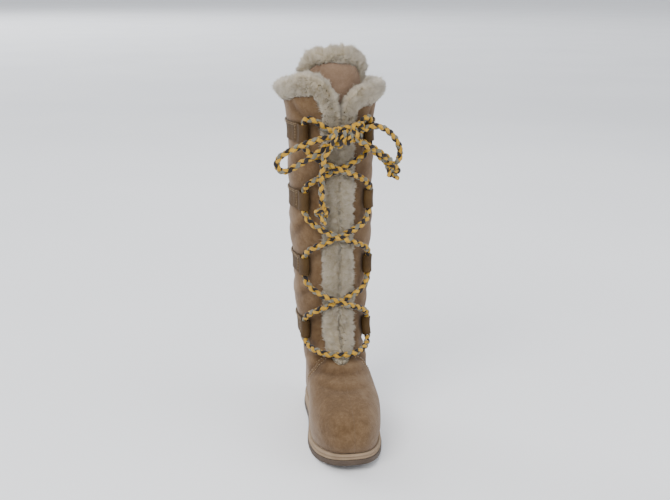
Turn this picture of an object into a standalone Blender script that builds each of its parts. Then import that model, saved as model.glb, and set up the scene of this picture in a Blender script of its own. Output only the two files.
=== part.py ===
"""Knee-high shearling mukluk boot laced up the front, a left shoe.

Metres, +Z up, toe towards -Y, the wearer's left towards +X. The origin is on the floor, under the axis of the shaft.
"""

import bisect
import math

import bmesh
import bpy
import numpy as np

# Clearance between pieces that meet
GAP = 0.0003

# Upper: the last's sizes, measured over the suede
FOOT_LENGTH = 0.264
HEEL_BACK = 0.066
BALL_WIDTH = 0.101
TOE_SWING = 0.006
ANKLE_HEIGHT = 0.140
ANKLE_TILT = 0.005
SHAFT_HEIGHT = 0.450
COLLAR_WIDTH = 0.125
COLLAR_DEPTH = 0.120
WALL = 0.003
UPPER_RINGS = 28
UPPER_COLUMNS = 28

# Sole
HEEL_STACK = 0.022
BALL_STACK = 0.015
TOE_SPRING = 0.010
SOLE_EDGE = 0.0015
SIDE_GROOVE = 0.0026
ARCH_RISE = 0.004
OUTSOLE_THICKNESS = 0.0075
SOLE_MARGIN = 0.0045
LUG_DEPTH = 0.003
LUG_PITCH = 0.0135
GROOVE_WIDTH = 0.0042
INSOLE_THICKNESS = 0.004
INSOLE_CLEARANCE = 0.0012
INSOLE_EDGE = 0.0012

# Throat: the slit between the two front edges of the shaft
THROAT_HALF = 0.0205
THROAT_BOTTOM = 0.104
THROAT_ROUND = 0.030
CORNER_RADIUS = 0.020
LEFT_CORNER_RISE = 0.008
RIGHT_CORNER_DROP = 0.007

# Wool edges
STRIP_TOP = SHAFT_HEIGHT - CORNER_RADIUS - RIGHT_CORNER_DROP - 0.002
STRIP_FOOT_GAP = 0.005
STRIP_MEETING_SHIFT = 0.006
STRIP_MEETING_RISE = 0.012
STRIP_PROUD = 0.0045
COLLAR_WOOL_REACH = 0.021
CORNER_WOOL_REACH = 0.006
COLLAR_WOOL_IN = 0.010
COLLAR_WOOL_OUT = 0.0075
TONGUE_WOOL_REACH = 0.017
TONGUE_WOOL_HALF = 0.0065
LOCK = 0.0024
FAR_FREEDOM = 0.3
WOOL_SIDES = 10

# Tongue
TONGUE_DEPTH = 0.0145
TONGUE_SINK_START = 0.006
TONGUE_SINK_LENGTH = 0.069
TONGUE_BOTTOM = THROAT_BOTTOM + 0.003
TONGUE_STRAIGHT = 0.045
TONGUE_SHOULDER = SHAFT_HEIGHT - 0.004
TONGUE_TOP = SHAFT_HEIGHT + 0.048
TONGUE_HALF_ANGLE = math.radians(68)
TONGUE_WALL = 0.003

# Lace loops: four straps round the shaft, each with a tube at both ends
STRAP_COUNT = 4
STRAP_TOP = SHAFT_HEIGHT - 0.041
STRAP_BOTTOM = ANKLE_HEIGHT - 0.001
STRAP_PITCH = (STRAP_TOP - STRAP_BOTTOM) / (STRAP_COUNT - 1)
STRAP_HEIGHT = 0.026
STRAP_THICKNESS = 0.0024
STRAP_PULL = 0.0020
STRAP_PULL_FADE = 0.020
STRAP_CLEARANCE = 0.0012
LOOP_ARC = 0.043
LOOP_RADIUS = 0.0066
LOOP_HOLE = 0.0047
LOOP_SIDES = 10

# Lace
LACE_DIAMETER = 0.0078
LACE_LIFT = 0.0122
LACE_SIDES = 6
LACE_DROP = 0.020
CROSSING_BUMP = 0.0045
BAR_LIFT = 0.002
KNOT_SIDE = 0.006
KNOT_FRONT = 0.0825
KNOT_CENTRE = (KNOT_SIDE, -KNOT_FRONT, STRAP_TOP - 0.0005)
KNOT_HALF_LENGTH = 0.0215
KNOT_RADIUS = 0.0118
KNOT_TURN = 0.0012
KNOT_TILT = 0.006
END_KNOT_RADIUS = 0.0078
END_KNOT_LENGTH = 0.0235
END_TAIL_RADIUS = 0.0032
ROUTE_UNIT = 0.010
LACE_CLEARANCE = 0.0012
LOOP_MIDDLE = STRAP_CLEARANCE + LOOP_RADIUS

# Foot sections from the feather line up to the ankle. Lengths run forward from the heel's back as shares of
# FOOT_LENGTH, heights are shares of ANKLE_HEIGHT, widths are shares of BALL_WIDTH. fullness is the power that blunts
# the ends of the outline, and plan is how much of the foot's own outline the section keeps.
FOOT_SECTIONS = (
    # name, back, back height, front, front height, width, fullness, plan
    ("feather", 0.020, None, 0.985, None, 0.950, 0.66, 1.00),
    ("rand", 0.003, 0.225, 1.000, 0.255, 1.000, 0.66, 1.00),
    ("toe wall", 0.000, 0.320, 1.000, 0.356, 1.005, 0.68, 1.00),
    ("toe top", 0.003, 0.410, 0.970, 0.455, 0.980, 0.72, 0.90),
    ("toe box", 0.010, 0.495, 0.888, 0.540, 0.935, 0.78, 0.75),
    ("vamp", 0.020, 0.585, 0.755, 0.622, 0.885, 0.84, 0.55),
    ("instep", 0.031, 0.685, 0.622, 0.730, 0.860, 0.92, 0.30),
    ("bend", 0.040, 0.800, 0.532, 0.870, 0.870, 1.00, 0.10),
)
# Shaft sections from the ankle to the collar. Heights are shares of the way up, depths and widths are shares of
# COLLAR_DEPTH and COLLAR_WIDTH, and lean moves the section forward by a share of COLLAR_DEPTH.
SHAFT_SECTIONS = (
    # name, height, depth, width, lean
    ("ankle", 0.00, 0.945, 0.755, 0.025),
    ("low shin", 0.11, 0.925, 0.790, 0.015),
    ("shin", 0.25, 0.930, 0.830, 0.008),
    ("low calf", 0.45, 0.945, 0.885, 0.004),
    ("calf", 0.64, 0.950, 0.912, 0.002),
    ("high calf", 0.80, 0.945, 0.918, 0.000),
    ("flare", 0.91, 0.960, 0.950, 0.000),
    ("collar", 1.00, 1.000, 1.000, 0.000),
)
# Outline of the foot seen from above: half widths at shares of the length from the heel, as shares of half the width
FOOT_PLAN = (
    # length, outer side, inner side
    (0.00, 0.80, 0.80),
    (0.15, 0.80, 0.78),
    (0.34, 0.82, 0.71),
    (0.50, 0.90, 0.78),
    (0.68, 1.00, 0.97),
    (0.84, 0.96, 1.02),
    (1.00, 0.86, 0.95),
)
# Routes drawn by hand, in units of ROUTE_UNIT. The bow's are x, y and z of each cord's middle line, from the knot's
# centre. A top run's are the share of the way from the middle of the front to the loop, the height over the loop's
# mouth, and how far further out than the loop's middle it lies.
LEFT_BOW = (
    (-2.29, 0.17, -0.11), (-3.4, 0.05, -0.25), (-4.2, 0.0, -0.45), (-5.4, 0.05, -0.85), (-6.6, 0.3, -1.45),
    (-7.7, 0.65, -2.15), (-8.5, 1.0, -2.9), (-8.9, 1.25, -3.65), (-8.75, 1.35, -4.3), (-8.1, 1.25, -4.45),
    (-7.2, 1.05, -4.05), (-6.1, 0.8, -3.5), (-5.0, 0.55, -2.9), (-4.0, 0.4, -2.3), (-3.3, 0.33, -1.75),
    (-2.45, 0.3, -1.05),
)
RIGHT_BOW = (
    (2.28, 0.19, 0.73), (3.2, 0.45, 1.05), (4.1, 0.7, 1.1), (5.1, 1.05, 0.75), (6.0, 1.45, 0.1),
    (6.8, 1.85, -0.75), (7.4, 2.2, -1.75), (7.65, 2.45, -2.8), (7.5, 2.55, -3.8), (6.95, 2.5, -4.35),
    (6.1, 2.35, -4.2), (5.3, 2.0, -3.5), (4.5, 1.6, -2.75), (3.7, 1.2, -2.05), (2.9, 0.8, -1.4),
    (2.15, 0.4, -0.75),
)
LEFT_END = (
    (-2.02, -0.65, -1.02), (-2.63, -0.68, -1.8), (-2.92, -0.5, -2.5), (-3.05, -0.2, -3.25),
    (-3.12, 0.1, -4.25), (-3.18, 0.3, -5.25), (-3.2, 0.4, -6.25), (-3.18, 0.5, -7.25), (-3.12, 0.6, -8.25),
    (-3.05, 0.7, -9.2),
)
RIGHT_END = (
    (1.48, -0.7, -0.62), (2.45, -0.65, -1.1), (3.3, -0.3, -1.45), (4.2, 0.1, -2.05), (5.1, 0.57, -2.7),
    (5.8, 0.97, -3.2), (6.18, 1.2, -3.7),
)
LEFT_STOP = (-3.05, 0.70, -9.25)
RIGHT_STOP = (6.30, 1.28, -3.93)
LEFT_TOP_RUN = (
    (-1.0, 0.12, 0.0), (-0.97, 0.55, 0.05), (-0.85, 0.8, 0.15), (-0.6, 0.55, 0.4), (-0.3, -0.4, 0.6),
    (0.0, -1.0, 0.65), (0.2, -1.2, 0.65),
)
RIGHT_TOP_RUN = (
    (1.0, 0.12, 0.0), (0.97, 0.55, 0.05), (0.85, 0.85, 0.15), (0.62, 0.5, 0.4), (0.4, -0.3, 0.6),
    (0.2, -0.9, 0.65), (-0.05, -1.2, 0.65),
)
# The midsole's side from the bottom up: shares of its height and of SIDE_GROOVE
MIDSOLE_SIDE = (
    # height, inset
    (0.00, 0.60), (0.20, 0.25), (0.42, 1.00), (0.54, 1.00), (0.62, 0.40), (0.88, 0.55), (1.00, 1.00),
)


def shares_curve(knots, values, at):
    """A smooth curve through (knots, values), read at one place: cubic pieces with slopes from their neighbours."""
    i = min(max(bisect.bisect_left(knots, at) - 1, 0), len(knots) - 2)
    span = knots[i + 1] - knots[i]
    t = (at - knots[i]) / span

    def slope(k):
        before, after = max(k - 1, 0), min(k + 1, len(knots) - 1)
        return (values[after] - values[before]) / (knots[after] - knots[before])

    t2, t3 = t * t, t * t * t
    return (
        (2 * t3 - 3 * t2 + 1) * values[i]
        + (t3 - 2 * t2 + t) * span * slope(i)
        + (3 * t2 - 2 * t3) * values[i + 1]
        + (t3 - t2) * span * slope(i + 1)
    )


def smooth_step(value, low, high):
    t = min(max((value - low) / (high - low), 0.0), 1.0)
    return t * t * (3 - 2 * t)


# Heights of the sole along the foot, s from 0 at the heel to 1 at the toe
def tread(s):
    """The outsole's underside: flat heel, arch, flat forefoot and toe spring."""
    arch = ARCH_RISE * smooth_step(s, 0.30, 0.42) * (1 - smooth_step(s, 0.44, 0.60))
    return arch + TOE_SPRING * max(0.0, (s - 0.78) / 0.22) ** 1.6


def foot_bed(s):
    """The top of the midsole, which the upper and the insole stand on."""
    stack = HEEL_STACK + (BALL_STACK - HEEL_STACK) * smooth_step(s, 0.22, 0.68)
    return stack + TOE_SPRING * max(0.0, (s - 0.72) / 0.28) ** 1.5


def section_rows():
    """Each section's heel point, toe point, width, fullness and plan share, in metres."""
    rows = []
    for _, back, back_height, front, front_height, width, fullness, plan in FOOT_SECTIONS:
        back_z = foot_bed(0) + 1.5 * GAP if back_height is None else back_height * ANKLE_HEIGHT
        front_z = foot_bed(1) + 1.5 * GAP if front_height is None else front_height * ANKLE_HEIGHT
        rows.append((
            HEEL_BACK - back * FOOT_LENGTH, back_z, HEEL_BACK - front * FOOT_LENGTH, front_z,
            width * BALL_WIDTH, fullness, plan,
        ))
    for _, height, depth, width, lean in SHAFT_SECTIONS:
        z = ANKLE_HEIGHT + height * (SHAFT_HEIGHT - ANKLE_HEIGHT)
        half, centre = depth * COLLAR_DEPTH / 2, -lean * COLLAR_DEPTH
        rise = ANKLE_TILT * max(0.0, 1 - height / 0.25)
        rows.append((centre + half, z - rise, centre - half, z + rise, width * COLLAR_WIDTH, 1.0, 0.0))
    return np.array(rows)


ROWS = section_rows()
LEVELS = [float(k) for k in range(len(ROWS))]
PLAN_LENGTHS = [row[0] for row in FOOT_PLAN]
PLAN_SIDES = {1: [row[1] for row in FOOT_PLAN], -1: [row[2] for row in FOOT_PLAN]}
TOP_LEVEL = LEVELS[-1]
ANKLE_LEVEL = float(len(FOOT_SECTIONS))


def strap_height(k):
    return STRAP_TOP - k * STRAP_PITCH


def pull(z):
    """How far the laced straps draw the shaft in at this height."""
    inside = smooth_step(z, ANKLE_HEIGHT - STRAP_PULL_FADE, ANKLE_HEIGHT) * (1 - smooth_step(z, STRAP_TOP, SHAFT_HEIGHT))
    return STRAP_PULL * inside * math.cos(math.pi * (z - STRAP_TOP) / STRAP_PITCH) ** 4


def suede(level, angle):
    """A point on the upper's outside. level counts the sections up, and angle goes round from the toe (0), over the
    wearer's left side (a quarter turn), to the heel (half a turn)."""
    back_y, back_z, front_y, front_z, width, fullness, plan = shares_curve(LEVELS, ROWS, level)
    plan, fullness = min(max(plan, 0.0), 1.0), min(fullness, 1.0)
    s = (1 + math.cos(angle)) / 2
    side = 1 if math.sin(angle) >= 0 else -1
    outline = 1 + plan * (shares_curve(PLAN_LENGTHS, PLAN_SIDES[side], s) - 1)
    z = back_z + s * (front_z - back_z)
    drawn_in = pull(z)
    half = (width / 2 * outline - drawn_in) * abs(math.sin(angle)) ** fullness
    bed = foot_bed(s) - foot_bed(0) - s * (foot_bed(1) - foot_bed(0))
    settled = max(0.0, 1 - level / 3) ** 2
    return np.array((
        side * half - TOE_SWING * plan * s * s,
        back_y + s * (front_y - back_y) + drawn_in * math.cos(angle),
        z + bed * settled,
    ))


def outward(level, angle):
    """The upper's outward normal."""
    low, high = max(level - 0.05, 0.0), min(level + 0.05, TOP_LEVEL)
    along = suede(high, angle) - suede(low, angle)
    across = suede(level, angle + 0.02) - suede(level, angle - 0.02)
    normal = np.cross(across, along)
    return normal / np.linalg.norm(normal)


def skin(level, angle, out=0.0):
    """A point this far outside the suede, or inside it where out is negative."""
    return suede(level, angle) + out * outward(level, angle)


def level_at(z, angle=0.0):
    """The level whose section passes this height at this angle, above the instep."""
    low, high = float(len(FOOT_SECTIONS)) - 3, TOP_LEVEL
    for _ in range(40):
        middle = (low + high) / 2
        low, high = (middle, high) if suede(middle, angle)[2] < z else (low, middle)
    return (low + high) / 2


def angle_at(arc, level):
    """The angle that lies this far round from the middle of the front."""
    half_width = shares_curve(LEVELS, ROWS, level)[4] / 2
    return arc / half_width


def throat_half(z):
    """Half the width of the throat at a height of its middle."""
    if z <= THROAT_BOTTOM:
        return 0.0
    t = min((z - THROAT_BOTTOM) / THROAT_ROUND, 1.0)
    return THROAT_HALF * math.sqrt(1 - (1 - t) ** 2)


def throat_angle(level):
    return angle_at(throat_half(suede(level, 0.0)[2]), level)


def collar_height(angle, arc_from_edge):
    """The suede's top edge: raised at one front corner, lower at the other, and rounded off towards the throat."""
    turn = (angle + math.pi) % (2 * math.pi) - math.pi
    lean = LEFT_CORNER_RISE if turn < 0 else -RIGHT_CORNER_DROP
    wave = lean * math.exp(-((abs(turn) - 0.55) / 0.5) ** 2)
    inside = min(max(arc_from_edge / CORNER_RADIUS, 0.0), 1.0)
    return SHAFT_HEIGHT + wave - CORNER_RADIUS * (1 - math.sqrt(1 - (1 - inside) ** 2))


def ease_round(c):
    """Shares round the upper, closer together at the front and the back, where it turns most."""
    return c - 0.3 / (4 * math.pi) * math.sin(4 * math.pi * c)


def upper_grid():
    """The upper's outside as rows of points, from one edge of the throat round the heel to the other edge."""
    throat_level = level_at(THROAT_BOTTOM)
    foot = np.linspace(0.0, throat_level, 14)
    low = throat_level + np.array((0.10, 0.26, 0.5, 0.8))
    shaft = np.linspace(low[-1], TOP_LEVEL, UPPER_RINGS - 17)[1:]
    levels = np.concatenate((foot, low, shaft))
    shares = np.array([ease_round(c) for c in np.linspace(0.0, 1.0, UPPER_COLUMNS + 1)])
    grid = []
    for level in levels:
        edge = throat_angle(level)
        row = []
        for share in shares:
            angle = edge + share * 2 * (math.pi - edge)
            reach = min(share, 1 - share) * 2 * math.pi * COLLAR_WIDTH / 2
            top = level_at(collar_height(angle, reach), math.pi / 2)
            beyond = max(0.0, collar_height(angle, reach) - SHAFT_HEIGHT)
            fade = max(0.0, (level - ANKLE_LEVEL) / (TOP_LEVEL - ANKLE_LEVEL))
            own = level if level <= ANKLE_LEVEL else ANKLE_LEVEL + (top - ANKLE_LEVEL) * fade
            point = suede(own, angle)
            point[2] += beyond * fade ** 6
            row.append(point)
        grid.append(row)
    return np.array(grid)


# Making objects
def material(name, colour, roughness, metallic=0.0):
    made = bpy.data.materials.new(name)
    made.use_nodes = True
    shader = made.node_tree.nodes["Principled BSDF"]
    shader.inputs["Base Color"].default_value = (*colour, 1.0)
    shader.inputs["Roughness"].default_value = roughness
    shader.inputs["Metallic"].default_value = metallic
    return made


def linked(name, mesh, look):
    obj = bpy.data.objects.new(name, mesh)
    bpy.context.scene.collection.objects.link(obj)
    obj.data.materials.append(look)
    return obj


def mesh_object(name, shape, look, smooth=True):
    """Makes an object from a bmesh, with its coincident points joined and its faces pointing out."""
    bmesh.ops.remove_doubles(shape, verts=shape.verts, dist=1e-6)
    bmesh.ops.recalc_face_normals(shape, faces=shape.faces)
    mesh = bpy.data.meshes.new(name)
    shape.to_mesh(mesh)
    shape.free()
    if smooth:
        mesh.shade_smooth()
        mesh.set_sharp_from_angle(angle=math.radians(40))
    return linked(name, mesh, look)


def add_grid(shape, grid, closed):
    """Adds a quad for each cell of a grid of points. closed joins the last column to the first."""
    rows = [[shape.verts.new(p) for p in row] for row in grid]
    columns = len(rows[0])
    for low, high in zip(rows, rows[1:]):
        for j in range(columns if closed else columns - 1):
            k = (j + 1) % columns
            corners = [low[j], low[k], high[k], high[j]]
            distinct = [c for n, c in enumerate(corners) if (c.co - corners[n - 1].co).length > 1e-7]
            if len(distinct) > 2:
                shape.faces.new(distinct)
    return rows


def thick_sheet(name, grid, wall, look):
    """An open sheet, given its wall inwards by a Solidify modifier."""
    shape = bmesh.new()
    add_grid(shape, grid, closed=False)
    obj = mesh_object(name, shape, look)
    solidify = obj.modifiers.new("wall", "SOLIDIFY")
    solidify.thickness = wall
    solidify.offset = -1
    solidify.use_even_offset = True
    return obj


def closed_loft(name, rings, look, smooth=True):
    """A closed solid through rings of points, with a fan over each end."""
    shape = bmesh.new()
    rows = add_grid(shape, rings, closed=True)
    for ring in (rows[0], rows[-1]):
        middle = shape.verts.new(sum((v.co for v in ring), start=ring[0].co * 0) / len(ring))
        for j, vert in enumerate(ring):
            shape.faces.new((vert, ring[(j + 1) % len(ring)], middle))
    return mesh_object(name, shape, look, smooth)


def decked_loft(name, rings, look):
    """A closed solid through level rings that run from the toe round the heel: each end is decked straight across."""
    shape = bmesh.new()
    rows = add_grid(shape, rings, closed=True)
    for ring in (rows[0], rows[-1]):
        count = len(ring)
        for j in range(count // 2):
            corners = [ring[j], ring[j + 1], ring[count - 1 - j], ring[-j]]
            shape.faces.new(list(dict.fromkeys(corners)))
    return mesh_object(name, shape, look)


def cord_object(name, points, look):
    """A plain tube along a smooth curve through the route's own points."""
    route = smooth_route([from_knot(point) for point in points], 2 * LACE_DIAMETER)
    curve = bpy.data.curves.new(name, "CURVE")
    curve.dimensions = "3D"
    curve.bevel_depth = LACE_DIAMETER / 2
    curve.bevel_resolution = 2
    curve.use_fill_caps = True
    spline = curve.splines.new("POLY")
    spline.points.add(len(route) - 1)
    for target, point in zip(spline.points, route):
        target.co = (*point, 1.0)
    return linked(name, curve, look)


def smooth_route(points, step):
    """Points this far apart along a smooth curve through the given points."""
    points = np.array(points)
    along = np.concatenate(([0.0], np.cumsum(np.linalg.norm(np.diff(points, axis=0), axis=1))))
    count = max(3, round(along[-1] / step) + 1)
    at = np.linspace(0.0, along[-1], count)
    return np.array([[shares_curve(along, points[:, k], a) for k in range(3)] for a in at])


def tube_rings(line, radius, sides):
    """Rings of points round a line, square to it, without twist."""
    line = np.array(line)
    tangents = np.gradient(line, axis=0)
    tangents /= np.linalg.norm(tangents, axis=1)[:, None]
    side = np.cross(tangents[0], (0.0, -1.0, 0.1))
    rings = []
    for point, tangent in zip(line, tangents):
        side = side - (side @ tangent) * tangent
        side /= np.linalg.norm(side)
        up = np.cross(tangent, side)
        turns = [2 * math.pi * k / sides for k in range(sides)]
        rings.append([point + radius * (math.cos(a) * side + math.sin(a) * up) for a in turns])
    return np.array(rings)


def joined(obj, other):
    """Joins another solid into obj with a Boolean union and hides the helper."""
    boolean = obj.modifiers.new("join", "BOOLEAN")
    boolean.operation = "UNION"
    boolean.object = other
    other.hide_render = True
    other.display_type = "WIRE"
    return obj


# Sole
def sole_outline(margin):
    """The feather line's outline seen from above, moved out by a margin: x, y and the share along the foot."""
    count = 44
    angles = [2 * math.pi * k / count for k in range(count)]
    points = np.array([suede(0.0, a) for a in angles])
    along = np.roll(points, -1, axis=0) - np.roll(points, 1, axis=0)
    normals = np.stack((along[:, 1], -along[:, 0]), axis=1)
    normals /= np.linalg.norm(normals, axis=1)[:, None]
    shares = np.array([(1 + math.cos(a)) / 2 for a in angles])
    moved = points[:, :2] + margin * normals
    return [(x, y, s) for (x, y), s in zip(moved, shares)]


def sole_ring(margin, height):
    """A level ring of the sole. height gives z at a share of the length."""
    return [(x, y, height(s)) for x, y, s in sole_outline(margin)]


def build_outsole(look):
    top = OUTSOLE_THICKNESS
    rings = [
        sole_ring(SOLE_MARGIN - SOLE_EDGE, tread),
        sole_ring(SOLE_MARGIN, lambda s: tread(s) + SOLE_EDGE),
        sole_ring(SOLE_MARGIN, lambda s: tread(s) + top - SOLE_EDGE),
        sole_ring(SOLE_MARGIN - SOLE_EDGE / 2, lambda s: tread(s) + top),
    ]
    outsole = decked_loft("outsole", rings, look)
    cutters = bmesh.new()
    length = FOOT_LENGTH + 2 * SOLE_MARGIN
    first = HEEL_BACK + SOLE_MARGIN
    middle_lug = (first % LUG_PITCH) - LUG_PITCH / 2
    for k in range(int(length / LUG_PITCH) + 1):
        y = first - middle_lug - k * LUG_PITCH
        s = (first - y) / length
        if 0.03 < s < 0.965 and not 0.31 < s < 0.54:
            box = bmesh.ops.create_cube(cutters, size=1.0)["verts"]
            bmesh.ops.scale(cutters, verts=box, vec=(2 * BALL_WIDTH, GROOVE_WIDTH, 2 * LUG_DEPTH))
            bmesh.ops.translate(cutters, verts=box, vec=(0.0, y, tread(s)))
    cutter = mesh_object("groove_cutters", cutters, look, smooth=False)
    cutter.hide_render = True
    cutter.display_type = "WIRE"
    grooves = outsole.modifiers.new("grooves", "BOOLEAN")
    grooves.operation = "DIFFERENCE"
    grooves.object = cutter
    return outsole


def build_midsole(look):
    def base(s):
        return tread(s) + OUTSOLE_THICKNESS + GAP

    def between(share):
        return lambda s: base(s) + share * (foot_bed(s) - base(s))

    rings = [sole_ring(SOLE_MARGIN - inset * SIDE_GROOVE, between(height)) for height, inset in MIDSOLE_SIDE]
    return decked_loft("midsole", rings, look)


def build_insole(look):
    margin = -(WALL + INSOLE_CLEARANCE)
    rings = [
        sole_ring(margin, lambda s: foot_bed(s) + GAP),
        sole_ring(margin, lambda s: foot_bed(s) + GAP + INSOLE_THICKNESS / 2),
        sole_ring(margin - INSOLE_EDGE, lambda s: foot_bed(s) + GAP + INSOLE_THICKNESS),
    ]
    return decked_loft("insole", rings, look)


# Tongue
def tongue_depth(z):
    """How far behind the suede the tongue's front lies: against the vamp below, behind the wool above."""
    start = THROAT_BOTTOM + TONGUE_SINK_START
    return WALL + 4 * GAP + (TONGUE_DEPTH - WALL - 4 * GAP) * smooth_step(z, start, start + TONGUE_SINK_LENGTH)


def tongue_point(z, angle, depth_more=0.0):
    """A point on the tongue's front, which goes straight up where the shaft flares."""
    straight_from = SHAFT_HEIGHT - TONGUE_STRAIGHT
    level = level_at(min(z, straight_from))
    point = skin(level, angle, -tongue_depth(z) - depth_more)
    if z > straight_from:
        point[2] += z - straight_from
    return point


def tongue_rim(u):
    """The height of the tongue's rounded top at a share of its half width."""
    return TONGUE_SHOULDER + (TONGUE_TOP - TONGUE_SHOULDER) * math.sqrt(max(0.0, 1 - abs(u) ** 3.0))


def tongue_half_angle(z):
    """The tongue is narrower at its foot."""
    return TONGUE_HALF_ANGLE * (0.62 + 0.38 * smooth_step(z, TONGUE_BOTTOM, (TONGUE_BOTTOM + SHAFT_HEIGHT) / 2))


def build_tongue(look):
    columns = [math.sin(math.pi / 2 * u) for u in np.linspace(-1, 1, 13)]
    heights = np.linspace(0.0, 1.0, 17) ** 0.9
    grid = []
    for share in heights:
        row = []
        for u in columns:
            z = TONGUE_BOTTOM + share * (tongue_rim(u) - TONGUE_BOTTOM)
            row.append(tongue_point(z, u * tongue_half_angle(z)))
        grid.append(row)
    return thick_sheet("tongue", grid, TONGUE_WALL, look)


# Wool edges
def lock_at(i, j):
    """How far the lock at this place stands out of the wool: a tuft at every other point, none like the next."""
    tuft = ((i + j) % 2) * (0.65 + 0.35 * math.sin(5.1 * i + 2.3 * j))
    return LOCK * tuft


def wool_object(name, rings, look):
    """A fleecy bolster through rings of points, with its locks pulled out from each ring's middle."""
    shaped = []
    last = len(rings) - 1
    for i, ring in enumerate(rings):
        ring = np.array(ring)
        middle = ring.mean(axis=0)
        calm = min(1.0, min(i, last - i) / 1.0)
        row = []
        for j, (point, free) in enumerate(ring_with_freedom(ring)):
            direction = point - middle
            direction /= np.linalg.norm(direction)
            row.append(point + direction * lock_at(i, j) * calm * free)
        shaped.append(row)
    return closed_loft(name, shaped, look)


def ring_with_freedom(ring):
    """Each point of a ring with how freely its lock may stand out: little at the suede's edge and opposite it."""
    count = len(ring)
    for j, point in enumerate(ring):
        from_edge = min(j, count - 1 - j)
        far = from_edge >= count // 2 - 1
        yield point, FAR_FREEDOM if far else min(1.0, max(0.0, (from_edge - 0.5) / 1.5))


def wool_ring(edge, beyond, normal, reach, inside, outside):
    """A ring of the bolster beyond an edge: flat on the edge, round where it ends."""
    ring = []
    for k in range(WOOL_SIDES):
        turn = 2 * math.pi * (k + 0.5) / WOOL_SIDES
        far = (1 - math.cos(turn)) / 2
        half = abs(math.sin(turn)) ** 0.7
        n = outside * half if math.sin(turn) > 0 else -inside * half
        ring.append(edge + beyond * (3 * GAP + far * reach) + normal * n)
    return ring


def build_throat_wool(side, name, look):
    """The wool along one front edge of the shaft, from the foot of the throat up to the collar's corner."""
    rings = []
    start = THROAT_BOTTOM + STRIP_FOOT_GAP
    for z in np.linspace(start, STRIP_TOP - GAP, 28):
        level = level_at(z)
        half = throat_half(suede(level, 0.0)[2])
        angle = side * angle_at(half, level)
        edge, normal = skin(level, angle), outward(level, angle)
        middle = suede(level, 0.0)
        beyond = middle - edge
        beyond = beyond - (beyond @ normal) * normal
        wide = np.linalg.norm(beyond)
        beyond /= wide
        reach = max(wide - 4 * GAP - LOCK * FAR_FREEDOM, 4 * GAP)
        inside = min(0.62 * tongue_depth(z) - LOCK, 0.45 * reach + WALL)
        outside = min(STRIP_PROUD, 0.35 * reach)
        rings.append(wool_ring(edge, beyond, normal, reach, inside, outside))
    return wool_object(name, rings, look)


def collar_edge():
    """Points and outward normals along the collar, corner to corner round the back."""
    points, normals = [], []
    for c in np.linspace(0.0, 1.0, 44):
        share = ease_round(c)
        level_edge = throat_angle(TOP_LEVEL)
        angle = level_edge + share * 2 * (math.pi - level_edge)
        reach = min(share, 1 - share) * 2 * math.pi * COLLAR_WIDTH / 2
        height = collar_height(angle, reach)
        level = level_at(height, math.pi / 2)
        point = skin(level, angle)
        point[2] += max(0.0, height - SHAFT_HEIGHT)
        points.append(point)
        normals.append(outward(level, angle))
    side_run = []
    for z in (STRIP_TOP + GAP, STRIP_TOP + 3 * GAP):
        level = level_at(z)
        side_run.append((level, throat_angle(level)))
    first = [skin(level, angle) for level, angle in side_run]
    last = [skin(level, -angle) for level, angle in reversed(side_run)]
    first_normals = [outward(level, angle) for level, angle in side_run]
    last_normals = [outward(level, -angle) for level, angle in reversed(side_run)]
    return np.array(first + points + last), np.array(first_normals + normals + last_normals)


def build_collar_wool(look):
    points, normals = collar_edge()
    along = np.gradient(points, axis=0)
    rings = []
    for i, (point, normal, run) in enumerate(zip(points, normals, along)):
        from_end = min(i, len(points) - 1 - i)
        run = np.array((0.0, 0.0, run[2])) if from_end < 2 else run
        beyond = np.cross(normal, run / np.linalg.norm(run))
        beyond /= np.linalg.norm(beyond)
        reach = COLLAR_WOOL_REACH + CORNER_WOOL_REACH * math.exp(-((from_end - 6) / 3) ** 2)
        meeting = STRIP_MEETING_SHIFT * smooth_step(point[2], STRIP_TOP, STRIP_TOP + STRIP_MEETING_RISE)
        room = abs(point[0] - meeting) - 4 * GAP - LOCK * FAR_FREEDOM
        if point[1] < 0 and reach * abs(beyond[0]) > room:
            reach = room / abs(beyond[0])
        grown = smooth_step(from_end, 0, 4)
        inside = COLLAR_WOOL_IN * (0.8 + 0.2 * grown)
        outside = STRIP_PROUD + (COLLAR_WOOL_OUT - STRIP_PROUD) * grown
        rings.append(wool_ring(point, beyond, normal, reach, inside, outside))
    return wool_object("collar_wool", rings, look)


def build_tongue_wool(look):
    rings = []
    for u in np.sin(np.linspace(-1.0, 1.0, 27) * math.radians(78)):
        z, z_next = tongue_rim(u), tongue_rim(u + 1e-2)
        angle = u * TONGUE_HALF_ANGLE
        middle_depth = TONGUE_WALL / 2
        point = tongue_point(z, angle, middle_depth)
        run = tongue_point(z_next, angle + 1e-2 * TONGUE_HALF_ANGLE, middle_depth) - point
        normal = outward(level_at(SHAFT_HEIGHT - TONGUE_STRAIGHT), angle)
        beyond = np.cross(run / np.linalg.norm(run), normal)
        if beyond[2] < 0:
            beyond = -beyond
        beside = smooth_step(abs(u), 0.72, 0.97)
        reach = TONGUE_WOOL_REACH * (1 - 0.55 * beside)
        outside = TONGUE_WOOL_HALF * (1 - 0.65 * beside)
        rings.append(wool_ring(point, beyond, normal, reach, TONGUE_WOOL_HALF, outside))
    return wool_object("tongue_wool", rings, look)


# Lace loops
def loop_angle(level):
    return angle_at(LOOP_ARC, level)


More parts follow.
